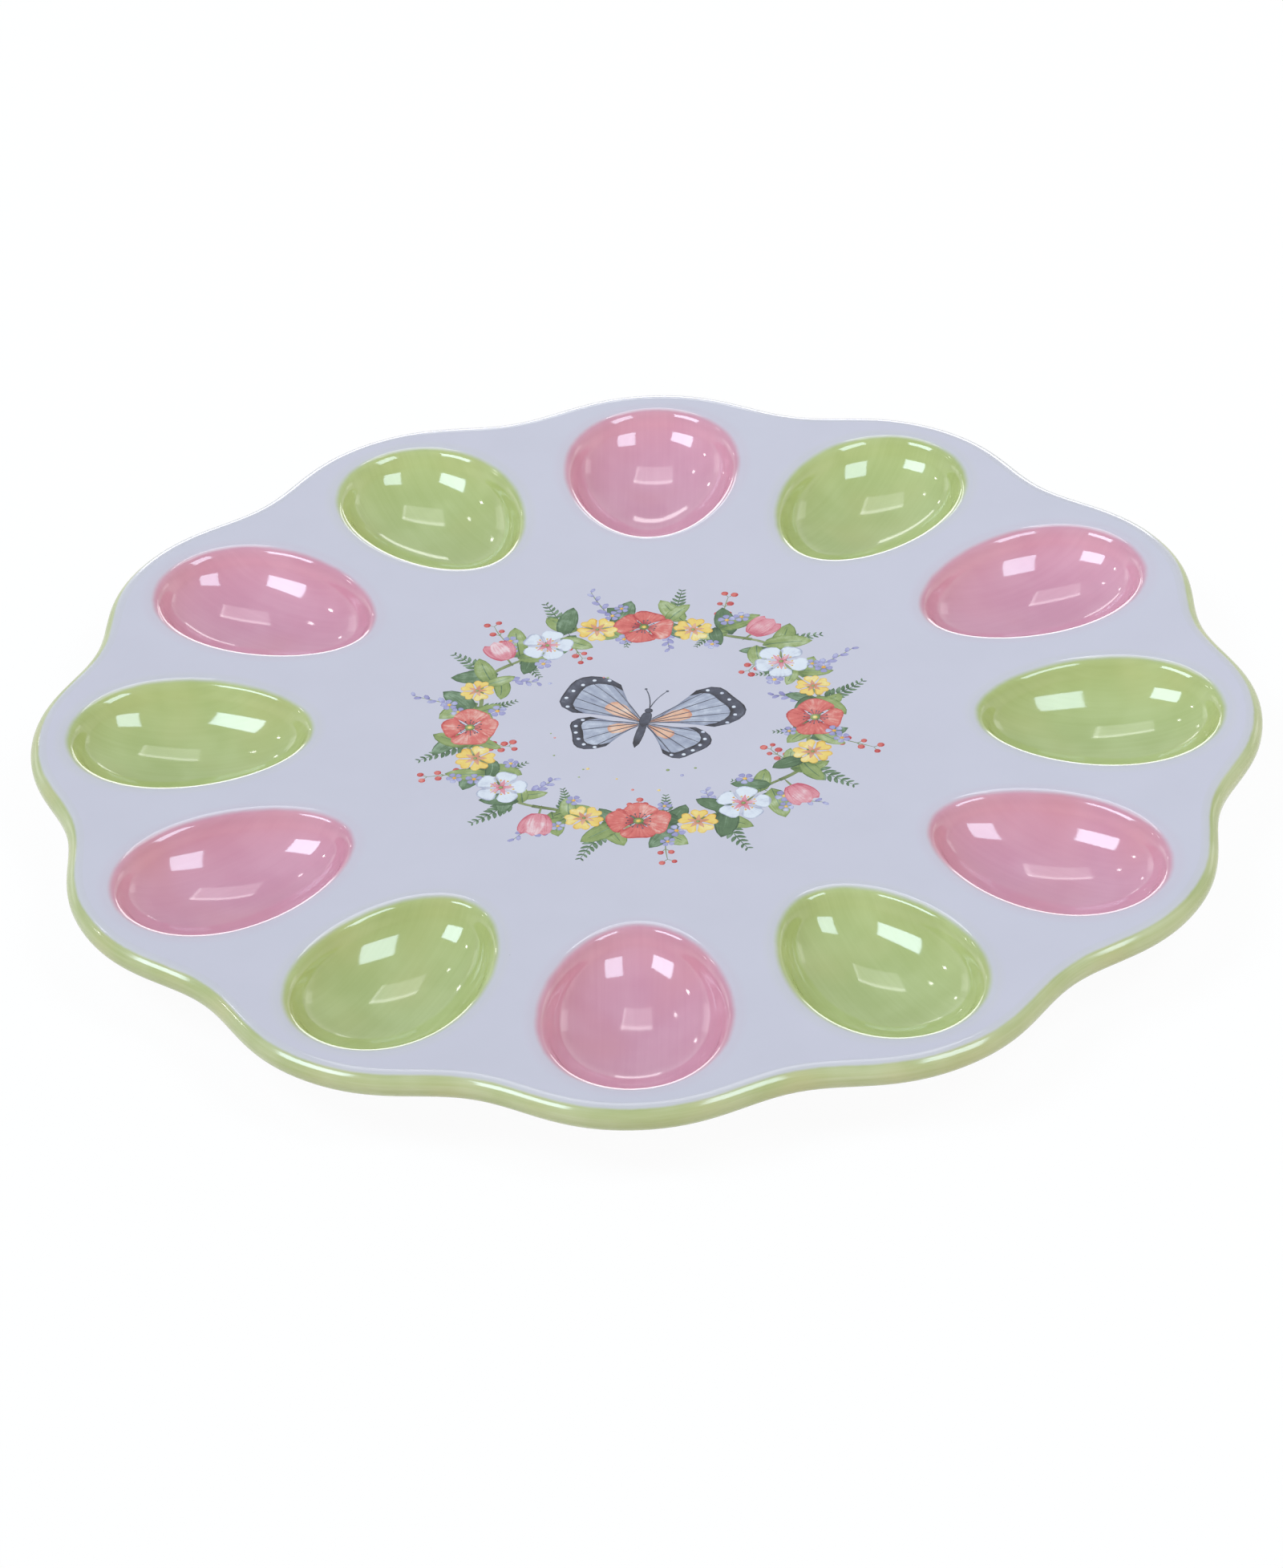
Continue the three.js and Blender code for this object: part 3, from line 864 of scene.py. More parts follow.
def stroke(start, heading, length, half_width, bend, root, tip, rows, columns=3):
    """One pull of the brush. A larger root or tip makes it swell more slowly or thin out sooner."""
    share = np.linspace(0, 1, rows)
    turn = heading + bend * (share - 0.4)
    steps = np.column_stack([np.cos(turn), np.sin(turn)]) * length / (rows - 1)
    spine = np.array(start) + np.concatenate([np.zeros((1, 2)), np.cumsum(steps, axis=0)[:-1]])
    swell = share ** root * (1 - share) ** tip
    return ribbon(spine, FINEST + (half_width - FINEST) * swell / swell.max(), columns)


print("finest point of a stroke:", 2 * FINEST, "mm wide")

# %% Petals and dots
def petal(centre, heading, spread, reach, rows, columns, inner=0.6, first=0.0, notch=0.0, ripple=0.0,
          round_off=0.3):
    """A petal that opens like a fan from the middle of a flower. first leaves out its inner part."""
    across = np.linspace(-1, 1, columns)
    along = np.linspace(first, 1, rows)[:, None]
    outer = reach * (1 - round_off * across ** 4 - notch * np.exp(-(across / 0.25) ** 2))
    outer = outer * (1 + ripple * np.sin(5 * across + 9 * heading))
    radius = inner + (outer - inner) * along
    turn = heading + spread * across * (0.5 + 0.5 * along ** 0.6)
    return np.array(centre) + np.stack([radius * np.cos(turn), radius * np.sin(turn)], axis=-1)


def dot(centre, radius, points=10):
    """A round dab, as a grid that joins the two halves of its edge."""
    turn = np.linspace(0, 2 * math.pi, points, endpoint=False)
    edge = np.array(centre) + radius * np.column_stack([np.cos(turn), np.sin(turn)])
    half = points // 2
    return np.stack([edge[:half], edge[half:][::-1]], axis=1)


print("shapes: stroke, petal, dot")

# %% [markdown]
# The plants are small recipes for these shapes. A real print repeats a few motifs in turned and resized
# copies, and so does this one. A fixed seed gives every copy its own slight accident, the same in each run.

# %% Leaves and sprigs
def leaf(start, heading, length, half_width, pigment, bend):
    lay(pigment, stroke(start, heading, length, half_width, bend, 0.55, 0.7, rows=9, columns=5))
    lay("fern", stroke(start, heading, length * 0.8, 0.16, bend * 0.8, 0.1, 0.4, rows=7), tone=-0.1)


def fern(start, heading, length, bend):
    """A stem with pairs of leaflets that shorten to the tip."""
    stem = stroke(start, heading, length, 0.2, bend, 0.1, 0.5, rows=10)
    lay("fern", stem)
    for place in range(2, 10):
        for side in (-1, 1):
            turn = heading + bend * (place / 9 - 0.4) + side * hand.uniform(0.75, 0.95)
            size = length * 0.26 * (1.15 - place / 11)
            lay("fern", stroke(stem[place, 1], turn, size, size * 0.2, -0.4 * side, 0.5, 0.7, rows=5))


def bell_sprig(start, heading, length, bend):
    """A stem with small lilac bells that hang to both sides."""
    stem = stroke(start, heading, length, 0.2, bend, 0.1, 0.5, rows=9)
    lay("stem", stem)
    for place in range(3, 9):
        side = 1 if place % 2 else -1
        turn = heading + bend * (place / 8 - 0.4) + side * hand.uniform(0.5, 0.9)
        lay("lilac", stroke(stem[place, 1], turn, 3.6 - 0.2 * place, 1.0 - 0.06 * place, 0.3 * side, 0.4, 0.3,
                            rows=6))


def berry_sprig(start, heading, length, bend):
    stem = stroke(start, heading, length, 0.18, bend, 0.1, 0.4, rows=8)
    lay("stem", stem)
    for place in (3, 5, 7):
        for side in (-1, 1):
            turn = heading + bend * (place / 7 - 0.4) + side * hand.uniform(0.6, 1.0)
            end = polar(stem[place, 1], turn, 2.0)
            lay("stem", stroke(stem[place, 1], turn, 2.0, 0.12, 0.0, 0.1, 0.1, rows=3))
            lay("coral", dot(end, hand.uniform(0.75, 1.05)), tone=0.2)


print("plants: leaf, fern, bell sprig, berry sprig")

# %% Open flowers
def poppy(centre, reach, turn):
    """Four broad petals, two over two, round a dark eye with a ring of stamens."""
    for step in (0, 2, 1, 3):
        heading = turn + step * math.pi / 2 + hand.uniform(-0.08, 0.08)
        lay("coral", petal(centre, heading, 0.86, reach * (1.0 if step % 2 else 0.92), ripple=0.05,
                           round_off=0.2, rows=7, columns=11))
    for step in range(16):
        turn_out = turn + step * math.pi / 8 + hand.uniform(-0.1, 0.1)
        far = reach * hand.uniform(0.3, 0.42)
        lay("slate", stroke(polar(centre, turn_out, 0.8), turn_out, far - 0.8, 0.09, 0.0, 0.1, 0.1, rows=3))
        lay("slate", dot(polar(centre, turn_out, far), 0.26, 8))
    lay("leaf", dot(centre, reach * 0.17, 12))
    lay("yellow", dot(centre, reach * 0.08, 8))


def primrose(centre, reach, turn):
    """Five heart-shaped petals and a warm star."""
    for step in (0, 2, 4, 1, 3):
        heading = turn + step * math.tau / 5
        lay("yellow", petal(centre, heading, 0.60, reach, notch=0.16, round_off=0.25, rows=6, columns=11))
    for step in range(5):
        heading = turn + step * math.tau / 5
        lay("peach", stroke(centre, heading, reach * 0.55, reach * 0.11, 0.0, 0.3, 0.9, rows=5), tone=0.35)
    lay("leaf", dot(centre, reach * 0.1, 8))


def blossom(centre, reach, turn):
    """Five round white petals with a pink throat and long stamens."""
    for step in (0, 2, 4, 1, 3):
        heading = turn + step * math.tau / 5 + hand.uniform(-0.05, 0.05)
        lay("petal_white", petal(centre, heading, 0.62, reach, ripple=0.03, round_off=0.3, rows=7, columns=9))
    for step in range(5):
        heading = turn + step * math.tau / 5
        lay("blush", stroke(centre, heading, reach * 0.5, reach * 0.09, 0.0, 0.3, 1.0, rows=5))
    for step in range(10):
        turn_out = turn + (step + 0.5) * math.tau / 10
        far = reach * hand.uniform(0.36, 0.5)
        lay("blush", stroke(centre, turn_out, far, 0.1, 0.0, 0.1, 0.1, rows=3), tone=0.3)
        lay("yellow", dot(polar(centre, turn_out, far), 0.32, 8), tone=0.3)
    lay("leaf", dot(centre, reach * 0.09, 8))


print("open flowers: poppy, primrose, blossom")

# %% Tulip and star
def tulip(foot, reach, heading):
    """A closed flower from the side, on a short stem."""
    lay("stem", stroke(foot, heading, reach * 0.7, 0.3, 0.0, 0.1, 0.1, rows=4))
    base = polar(foot, heading, reach * 0.45)
    for lean, width, tone in ((-0.34, 0.3, 0.15), (0.34, 0.3, 0.15), (0.0, 0.36, -0.15)):
        lay("blush", stroke(base, heading + lean, reach * 1.25, reach * width, -1.1 * lean, 0.42, 0.5,
                            rows=10, columns=7), tone)


def star_flower(centre, reach, turn):
    for step in range(5):
        lay("lilac", petal(centre, turn + step * math.tau / 5, 0.55, reach, inner=0.2, rows=4, columns=7))
    lay("yellow", dot(centre, reach * 0.25, 8), tone=0.3)


print("small flowers: tulip, star")

# %% [markdown]
# The layout is a closed round wreath with a butterfly in the middle. Stems go down first, then ferns and
# leaves, then the flowers, so that each layer hides the ends of the one below.

# %% Wreath
WREATH = 45.0
STATIONS = 20
STEM_WAVE = 1.6
STEM_ROOT, STEM_TIP = 0.62, 0.4  # half widths
OUTER_SPRIG, INNER_SPRIG = (15.0, 17.5), (9.5, 12.0)  # least and greatest length
OUTER_LEAF, INNER_LEAF = (9.5, 13.5), (8.0, 10.5)
LEAVES = (  # how far along its station a leaf grows, which way it leans, and its length
    (0.3, 0.75, OUTER_LEAF), (0.62, -0.7, OUTER_LEAF),
    (0.4, math.pi - 0.8, INNER_LEAF), (0.7, math.pi + 0.7, INNER_LEAF))


def on_wreath(station, outward=0.0):
    """A point of the wreath and the direction out from the middle there."""
    turn = math.tau * station / STATIONS
    return polar((0, 0), turn, WREATH + outward), turn


def draw_wreath():
    for station in range(STATIONS):
        share = np.linspace(station - 0.1, station + 1.05, 10) * math.tau / STATIONS
        radius = WREATH + STEM_WAVE * np.sin(share * STATIONS / 2)
        spine = radius[:, None] * np.column_stack([np.cos(share), np.sin(share)])
        lay("stem", ribbon(spine, np.linspace(STEM_ROOT, STEM_TIP, 10)))
    for station in range(STATIONS):
        start, turn = on_wreath(station + 0.5)
        sprig = (fern, bell_sprig, fern, berry_sprig)[station % 4]
        sprig(start, turn + hand.uniform(-0.45, 0.45), hand.uniform(*OUTER_SPRIG), hand.uniform(-0.6, 0.6))
        inner = (bell_sprig, fern, berry_sprig, fern)[station % 4]
        inner(start, turn + math.pi + hand.uniform(-0.5, 0.5), hand.uniform(*INNER_SPRIG),
              hand.uniform(-0.7, 0.7))
    for station in range(STATIONS):
        for shift, lean, lengths in LEAVES:
            start, turn = on_wreath(station + shift, hand.uniform(-1, 1))
            length = hand.uniform(*lengths)
            leaf(start, turn + lean + hand.uniform(-0.2, 0.2), length, length * hand.uniform(0.2, 0.26),
                 hand.choice(["leaf", "leaf", "fern"]), hand.uniform(-0.7, 0.7))


draw_wreath()
print("wreath without flowers:", len(print_shapes), "shapes")

# %% Flowers on the wreath
SMALL_FLOWER = (primrose, 4.6, 5.6, 0.4)
FLOWERS = (  # in turn along the wreath: which one, its least and greatest reach, and how far it may twist
    (poppy, 7.6, 8.6, 0.4), SMALL_FLOWER, (blossom, 6.6, 7.4, 0.4), (tulip, 7.0, 8.0, 0.5), SMALL_FLOWER)
STARS = ((0.42, 7.5), (0.6, 4.5), (0.5, -7.0))  # how far along every other station, and how far out
STAR_REACH = (1.9, 2.5)


def draw_flowers():
    for station in range(STATIONS):
        if station % 2:
            for shift, outward in STARS:
                centre, turn = on_wreath(station + shift, outward + hand.uniform(-1, 1))
                star_flower(centre, hand.uniform(*STAR_REACH), turn + hand.uniform(0, 1))
        centre, turn = on_wreath(station + hand.uniform(-0.08, 0.08), hand.uniform(-2.2, 2.2))
        flower, least, greatest, twist = FLOWERS[station % len(FLOWERS)]
        flower(centre, hand.uniform(least, greatest), turn + hand.uniform(-twist, twist))


draw_flowers()
print("wreath:", len(print_shapes), "shapes")

# %% Butterfly
BUTTERFLY_TURN = math.radians(78)  # which way its head points
BUTTERFLY_REACH = 26.0
SPATTERS = 16
SPATTER_NEAR, SPATTER_FAR = 22, 31  # between the butterfly and the wreath


def butterfly(centre, turn, reach):
    for side in (-1, 1):
        hind = [centre, turn + side * 2.05, 0.52, reach * 0.74]
        fore = [centre, turn + side * 1.02, 0.47, reach]
        for wing, veins in ((hind, 4), (fore, 5)):
            where, heading, spread, far = wing
            lay("wing", petal(where, heading, spread, far, ripple=0.03, round_off=0.28, rows=9, columns=13))
            lay("peach", petal(where, heading, spread * 0.6, far * 0.5, inner=1.6, rows=5, columns=7))
            for vein in range(veins):
                lean = spread * (vein / (veins - 1) - 0.5) * 1.5
                lay("slate", stroke(where, heading + lean, far * 0.9, 0.17, 0.12 * side, 0.1, 0.3, rows=7))
            lay("slate", petal(where, heading, spread, far * 1.015, first=0.84, ripple=0.03, round_off=0.28,
                               rows=4, columns=13))
            for spot in np.linspace(-0.78, 0.78, 6):
                near = far * (0.93 - 0.26 * spot ** 4)
                lay("petal_white", dot(polar(where, heading + spread * spot, near), 0.55, 8))
    for behind, length, half_width in ((0.42, 0.5, 1.15), (0.06, 0.27, 1.5)):
        tail = polar(centre, turn, -reach * behind)
        lay("slate", stroke(tail, turn, reach * length, half_width, 0.0, 0.45, 0.45, rows=8, columns=5))
    lay("slate", dot(polar(centre, turn, reach * 0.22), 1.1, 12))
    for side in (-1, 1):
        feeler = stroke(polar(centre, turn, reach * 0.24), turn + side * 0.3, reach * 0.36, 0.16, side * 0.5,
                        0.1, 0.1, rows=8)
        lay("slate", feeler)
        lay("slate", dot(feeler[-1, 1], 0.42, 8))


butterfly((0.0, -1.0), BUTTERFLY_TURN, BUTTERFLY_REACH)
for _ in range(SPATTERS):
    place = polar((0, 0), hand.uniform(0, math.tau), hand.uniform(SPATTER_NEAR, SPATTER_FAR))
    lay(hand.choice(["lilac", "coral", "leaf", "yellow"]), dot(place, hand.uniform(0.25, 0.6), 8), tone=-0.2)
print("print:", len(print_shapes), "shapes")

# %% [markdown]
# ## Watercolour
# Wet paint doesn't dry evenly. Pigment gathers in a darker line at the edge of each stroke, stays strong near
# the root, runs in streaks along the brush and leaves thin watery patches. A picture of dried paint could be
# laid over every stroke, but it would repeat from petal to petal. All pigments share this behaviour, so it is
# a node group. It reads where a point lies along and across its own stroke.

# %% Node group: watercolour wash
PLAIN_DENSITY = 0.42  # of paint in the middle of a stroke


def wash_group():
    """From thin to pale to deep pigment, by the place in the stroke and by watery noise."""
    tree, given, out = new_group(
        "Watercolour wash",
        {"Wash": ("vector", (0, 0, 0)), "Thin": ("colour", (0.8, 0.8, 0.8, 1)),
         "Pale": ("colour", (0.5, 0.5, 0.5, 1)), "Deep": ("colour", (0.2, 0.2, 0.2, 1)),
         "Root": ("value", 0.4), "Pool": ("value", 0.4), "Streak": ("value", 0.4)},
        {"Colour": "colour"})
    along, across, tone = add_node(tree, "ShaderNodeSeparateXYZ", {"Vector": given["Wash"]}).outputs[:3]
    place = object_place(tree)
    edge = maths(tree, "MAXIMUM", smooth_step(tree, maths(tree, "ABSOLUTE", across), 0.7, 1.0),
                 smooth_step(tree, along, 0.88, 1.0))
    base = smooth_step(tree, along, 0.5, 0.0)
    drawn_out = add_node(tree, "ShaderNodeMapping", {"Vector": given["Wash"], "Scale": (0.9, 5.0, 20.0)})
    streaks = noise(tree, drawn_out.outputs[0], 1.5, 3.0)
    water, grain = noise(tree, place, 330.0, 2.0), noise(tree, place, 2600.0, 2.0)
    density = maths(tree, "ADD", maths(tree, "MULTIPLY_ADD", edge, given["Pool"], PLAIN_DENSITY), tone)
    density = maths(tree, "ADD", density, maths(tree, "MULTIPLY", base, given["Root"]))
    for uneven, strength in ((streaks, given["Streak"]), (water, 0.9), (grain, 0.25)):
        swing = maths(tree, "SUBTRACT", uneven, 0.5)
        density = maths(tree, "ADD", density, maths(tree, "MULTIPLY", swing, strength))
    light = blend(tree, smooth_step(tree, density, 0.0, 0.5), given["Thin"], given["Pale"])
    tree.links.new(blend(tree, smooth_step(tree, density, 0.45, 1.1), light, given["Deep"]), out["Colour"])
    return tree


WASH = wash_group()
print("group:", WASH.name)

# %% Pigments
def pigment(name, thin, pale, deep, **values):
    material, tree, shader = new_material(f"print_{name}")
    inputs = {"Wash": read_value(tree, "wash", "Vector"),
              "Thin": srgb(*thin), "Pale": srgb(*pale), "Deep": srgb(*deep)}
    wash = add_node(tree, "ShaderNodeGroup", {**inputs, **values}, node_tree=WASH)
    dress(tree, shader, wash.outputs["Colour"], Cloud=0.0)
    return material


PAINTBOX = {  # thin, pale and deep colour, and what departs from the group's own values
    "stem": ((172, 176, 140), (132, 142, 92), (88, 100, 58), {}),
    "leaf": ((192, 200, 160), (146, 160, 98), (92, 114, 60), {"Streak": 0.6}),
    "fern": ((146, 166, 138), (90, 116, 82), (50, 76, 50), {"Streak": 0.6}),
    "coral": ((236, 184, 172), (220, 112, 104), (184, 54, 60), {"Root": 0.5, "Streak": 0.9}),
    "blush": ((238, 204, 208), (224, 146, 156), (200, 88, 108), {"Root": 0.5, "Streak": 0.9}),
    "lilac": ((206, 204, 226), (160, 154, 196), (114, 106, 160), {}),
    "yellow": ((244, 228, 178), (240, 204, 110), (222, 156, 50), {"Root": 0.5}),
    "petal_white": ((230, 230, 236), (224, 224, 232), (168, 168, 190), {"Pool": 0.5, "Root": 0.2}),
    "wing": ((208, 208, 220), (166, 168, 186), (108, 110, 134), {"Root": 0.3, "Streak": 1.0}),
    "slate": ((126, 126, 140), (76, 76, 90), (40, 38, 46), {}),
    "peach": ((240, 210, 192), (230, 178, 150), (208, 134, 104), {}),
}
PIGMENTS = {name: pigment(name, *shades, **values) for name, (*shades, values) in PAINTBOX.items()}
print("pigments:", ", ".join(PIGMENTS))

# %% [markdown]
# ## Cutting the film
# Shapes could be laid one on top of the other, but hundreds of them would cut through each other in so thin a
# film. So all outlines go onto one disc, which is split into triangles along every line. A triangle belongs
# to the last shape that covers it. What one pigment owns becomes one piece, with a top, a bottom and walls,
# and the triangles that no shape covers stay white. The pieces fit together like a jigsaw.

# %% Outlines cut into the film
FILM_TOLERANCE = 1e-5  # points that lie closer than this become one


def outline_of(grid):
    """The border of a grid of points, counter-clockwise."""
    border = np.concatenate([grid[0, :-1], grid[:-1, -1], grid[-1, :0:-1], grid[:0:-1, 0]])
    x, y = border.T
    turns_left = np.sum(x * np.roll(y, -1) - y * np.roll(x, -1)) > 0
    return border if turns_left else border[::-1]


def cut_film(shapes):
    """Points, triangles and the number of the shape that owns each triangle. The bare disc is number 0."""
    points, faces, first = [circle(FILM_RADIUS)], [list(range(RIM_POINTS))], RIM_POINTS
    for _, grid, _ in shapes:
        border = outline_of(grid)
        points += [border, grid[1:-1, 1:-1].reshape(-1, 2)]
        faces.append(list(range(first, first + len(border))))
        first += len(border) + len(points[-1])
    corners, _, triangles, _, _, sources = delaunay_2d_cdt(
        [Vector(point) for point in np.concatenate(points)], [], faces, INSIDE_FACES, FILM_TOLERANCE)
    owners = np.array([max(source) for source in sources])
    return np.array([tuple(corner) for corner in corners]), np.array(triangles), owners


film_points, film_triangles, film_owners = cut_film(print_shapes)
print("film:", len(film_points), "points,", len(film_triangles), "triangles")

# %% Plates of film
FILM_THICKNESS = 0.05
FILM_MELT = 1.0  # the firing melts the rim of the film away over this distance
FILM_LEFT = 0.05  # the share of its thickness that is left at the very edge
NEARNESS = 3  # how fast a point of a stroke's grid counts for less, as a power of the distance
TINY = 1e-9  # keeps a corner that lies on such a point from dividing by nothing


def wash_at(points, grid, tone):
    """Where points lie along and across the stroke that a grid describes, and the stroke's tone."""
    rows, columns = grid.shape[:2]
    u, v = np.meshgrid(np.linspace(0, 1, rows), np.linspace(-1, 1, columns), indexing="ij")
    known, flat = np.column_stack([u.ravel(), v.ravel()]), grid.reshape(-1, 2)
    near = 1 / (np.sum((points[:, None] - flat[None]) ** 2, axis=2) ** (NEARNESS / 2) + TINY)
    place = near @ known / near.sum(axis=1)[:, None]
    return np.column_stack([place, np.full(len(points), tone)])


def plate_of(points, triangles, owners):
    """A closed plate for each shape's share of the film. Corners are shared only across inner edges."""
    corner_of = np.arange(triangles.size)

    def root(corner):
        while corner_of[corner] != corner:
            corner_of[corner] = corner_of[corner_of[corner]]
            corner = corner_of[corner]
        return corner

    met, walls = {}, {}
    for face, ring in enumerate(triangles):
        for k in range(3):
            a, b = ring[k], ring[(k + 1) % 3]
            here = (3 * face + k, 3 * face + (k + 1) % 3)
            there = met.get((b, a, owners[face]))
            if there:
                corner_of[root(here[0])] = root(there[1])
                corner_of[root(here[1])] = root(there[0])
                walls.pop((b, a, owners[face]))
            else:
                walls[(a, b, owners[face])] = here
            met[(a, b, owners[face])] = here
    roots = np.array([root(corner) for corner in range(triangles.size)])
    kept, number = np.unique(roots, return_inverse=True)
    top, count = number.reshape(-1, 3), len(kept)
    flat = points[triangles.ravel()[kept]]
    sides = [[number[a], number[b], number[b] + count, number[a] + count] for a, b in walls.values()]
    faces = top.tolist() + (top[:, ::-1] + count).tolist() + sides
    from_rim = FILM_RADIUS - np.hypot(flat[:, 0], flat[:, 1])
    melted = FILM_THICKNESS * np.clip(from_rim / FILM_MELT, FILM_LEFT, 1)
    corners = np.concatenate([at_height(flat, DECK + melted), at_height(flat, DECK)])
    return (corners, [[int(corner) for corner in face] for face in faces]), np.repeat(owners, 3)[kept], flat


print("film:", FILM_THICKNESS, "mm thick, melted away over the last", FILM_MELT, "mm")

# %% Transfer film
GROUND = "ground"
shape_pigment = np.array([GROUND] + [shape[0] for shape in print_shapes])
for name in shape_pigment[np.sort(np.unique(shape_pigment, return_index=True)[1])]:
    own = shape_pigment[film_owners] == name
    form, corner_shape, flat = plate_of(film_points, film_triangles[own], film_owners[own])
    if name == GROUND:
        make_piece("film_ground", form, white, ["printed_transfer"], plain_haze(form))
        continue
    wash = np.zeros((len(flat), 3))
    for shape in np.unique(corner_shape):
        _, grid, tone = print_shapes[shape - 1]
        wash[corner_shape == shape] = wash_at(flat[corner_shape == shape], grid, tone)
    make_piece(f"film_{name}", form, PIGMENTS[name], ["printed_transfer"],
               {"wash": np.tile(wash, (2, 1))})

# %% [markdown]
# ## Studio
# Two large softboxes hang left and right of the plate. Their bright squares in every well are half of what
# makes the glaze read as glaze, so their places are those that the squares call for. A faint panel hangs
# behind, with two brighter edges. A long low strip draws the bright line along the near lips, two dim strips
# at the sides leave the pale streaks at the ends of the wells, a short bar behind draws an arc on the near
# walls, and three small lamps make the sparks. An image of a studio could light it all, but it would be a
# file to carry along, and lamps can be moved one by one. The floor and the world are white for the camera.
# Mirrored rays see the white floor and a white backdrop low down, with a dim ceiling above it. The floor
# keeps the shadow.

# %% Floor
FLOOR_HALF = 4.0  # metres, as for the lamps and the camera
FLOOR_DROP = 0.00005
FLOOR_GLOW = 0.95  # what the camera sees of the floor in full shadow
FLOOR_BOUNCE = 0.65  # how much light the floor throws back up


def seen_rays(tree):
    """Two masks: rays from the camera, and those together with mirrored and passing rays."""
    path = add_node(tree, "ShaderNodeLightPath").outputs
    passed_on = maths(tree, "MAXIMUM", path["Is Glossy Ray"], path["Is Transmission Ray"])
    return path["Is Camera Ray"], maths(tree, "MAXIMUM", path["Is Camera Ray"], passed_on)


def floor_material():
    material = bpy.data.materials.new("floor_paper")
    material.use_nodes = True
    tree = material.node_tree
    tree.nodes.clear()
    seen = seen_rays(tree)[1]
    lit = add_node(tree, "ShaderNodeBsdfDiffuse", {"Color": (1 - FLOOR_GLOW,) * 3 + (1,)})
    glow = add_node(tree, "ShaderNodeEmission", {"Color": (1, 1, 1, 1), "Strength": FLOOR_GLOW})
    shown = add_node(tree, "ShaderNodeAddShader", {0: lit.outputs[0], 1: glow.outputs[0]})
    bounce = add_node(tree, "ShaderNodeBsdfDiffuse", {"Color": (FLOOR_BOUNCE,) * 3 + (1,)})
    above = add_node(tree, "ShaderNodeMixShader", {0: seen, 1: bounce.outputs[0], 2: shown.outputs[0]})
    clear = add_node(tree, "ShaderNodeBsdfTransparent")
    below = add_node(tree, "ShaderNodeNewGeometry").outputs["Backfacing"]
    whole = add_node(tree, "ShaderNodeMixShader", {0: below, 1: above.outputs[0], 2: clear.outputs[0]})
    add_node(tree, "ShaderNodeOutputMaterial", {"Surface": whole.outputs[0]})
    return material


floor_mesh = bpy.data.meshes.new("floor")
signs = ((-1, -1), (1, -1), (1, 1), (-1, 1))
floor_corners = [(x * FLOOR_HALF, y * FLOOR_HALF, -FLOOR_DROP) for x, y in signs]
floor_mesh.from_pydata(floor_corners, [], [[0, 1, 2, 3]])
floor_mesh.materials.append(floor_material())
floor = add_object("floor", floor_mesh)
print("floor:", 2 * FLOOR_HALF, "m square")

# %% World
CEILING = 0.6  # what mirrored rays see above the backdrop
BACKDROP_FADES, BACKDROP_FULL = 0.34, 0.2  # heights, as the sine of the elevation, between which it ends
FILL = 1.6
FILL_ENDS, FILL_FULL = 0.6, 0.05  # likewise, the fill from low down
SKY = 0.1  # the fill from overhead, beside that from low down
BEHIND, IN_FRONT = 0.7, 1.3  # the fill from behind the plate and from the camera's side
LEFT_TINT, RIGHT_TINT = (0.97, 1.0, 0.96, 1), (1.0, 0.96, 0.7, 1)


def light_world():
    """White where it is seen. Elsewhere a fill from low down, strongest on the camera's side."""
    world = bpy.data.worlds.new("studio")
    bpy.context.scene.world = world
    world.use_nodes = True
    tree = world.node_tree
    tree.nodes.clear()
    by_camera, seen = seen_rays(tree)
    away = add_node(tree, "ShaderNodeTexCoord").outputs["Generated"]
    axes = add_node(tree, "ShaderNodeSeparateXYZ", {"Vector": away}).outputs
    tint = blend(tree, smooth_step(tree, axes[0], -1.0, 1.0), LEFT_TINT, RIGHT_TINT)
    front = maths(tree, "MULTIPLY_ADD", smooth_step(tree, axes[1], 0.4, -1.0), IN_FRONT - BEHIND, BEHIND)
    low = maths(tree, "MULTIPLY", smooth_step(tree, axes[2], FILL_ENDS, FILL_FULL), front)
    strength = maths(tree, "MULTIPLY", maths(tree, "ADD", low, SKY), FILL)
    dim = add_node(tree, "ShaderNodeBackground", {"Color": tint, "Strength": strength})
    near_floor = smooth_step(tree, axes[2], BACKDROP_FADES, BACKDROP_FULL)
    backdrop = maths(tree, "MULTIPLY_ADD", near_floor, 1.0 - CEILING, CEILING)
    white_level = maths(tree, "MAXIMUM", by_camera, backdrop)
    bright = add_node(tree, "ShaderNodeBackground", {"Color": (1, 1, 1, 1), "Strength": white_level})
    mixed = add_node(tree, "ShaderNodeMixShader", {0: seen, 1: dim.outputs[0], 2: bright.outputs[0]})
    add_node(tree, "ShaderNodeOutputWorld", {"Surface": mixed.outputs[0]})


light_world()
print("world: white in view, a low fill elsewhere")

# %% Lamps
def panel(name, centre, size, first_axis, second_axis, radiance, colour=(1, 1, 1)):
    """A rectangular lamp with its middle and its two edge directions given, turned to face the plate."""
    lamp = bpy.data.lights.new(name, "AREA")
    lamp.shape = "RECTANGLE"
    lamp.size, lamp.size_y = size
    lamp.energy = 4 * size[0] * size[1] * radiance  # the watts at which a panel looks this bright
    lamp.color = colour
    side = Vector(first_axis).normalized()
    back = side.cross(Vector(second_axis)).normalized()
    if back.dot(Vector(centre)) < 0:
        back.negate()
    turn = Matrix([side, back.cross(side), back]).transposed()
    add_object(name, lamp).matrix_world = Matrix.Translation(centre) @ turn.to_4x4()
    print(f"{name}: {lamp.energy:.2f} W")


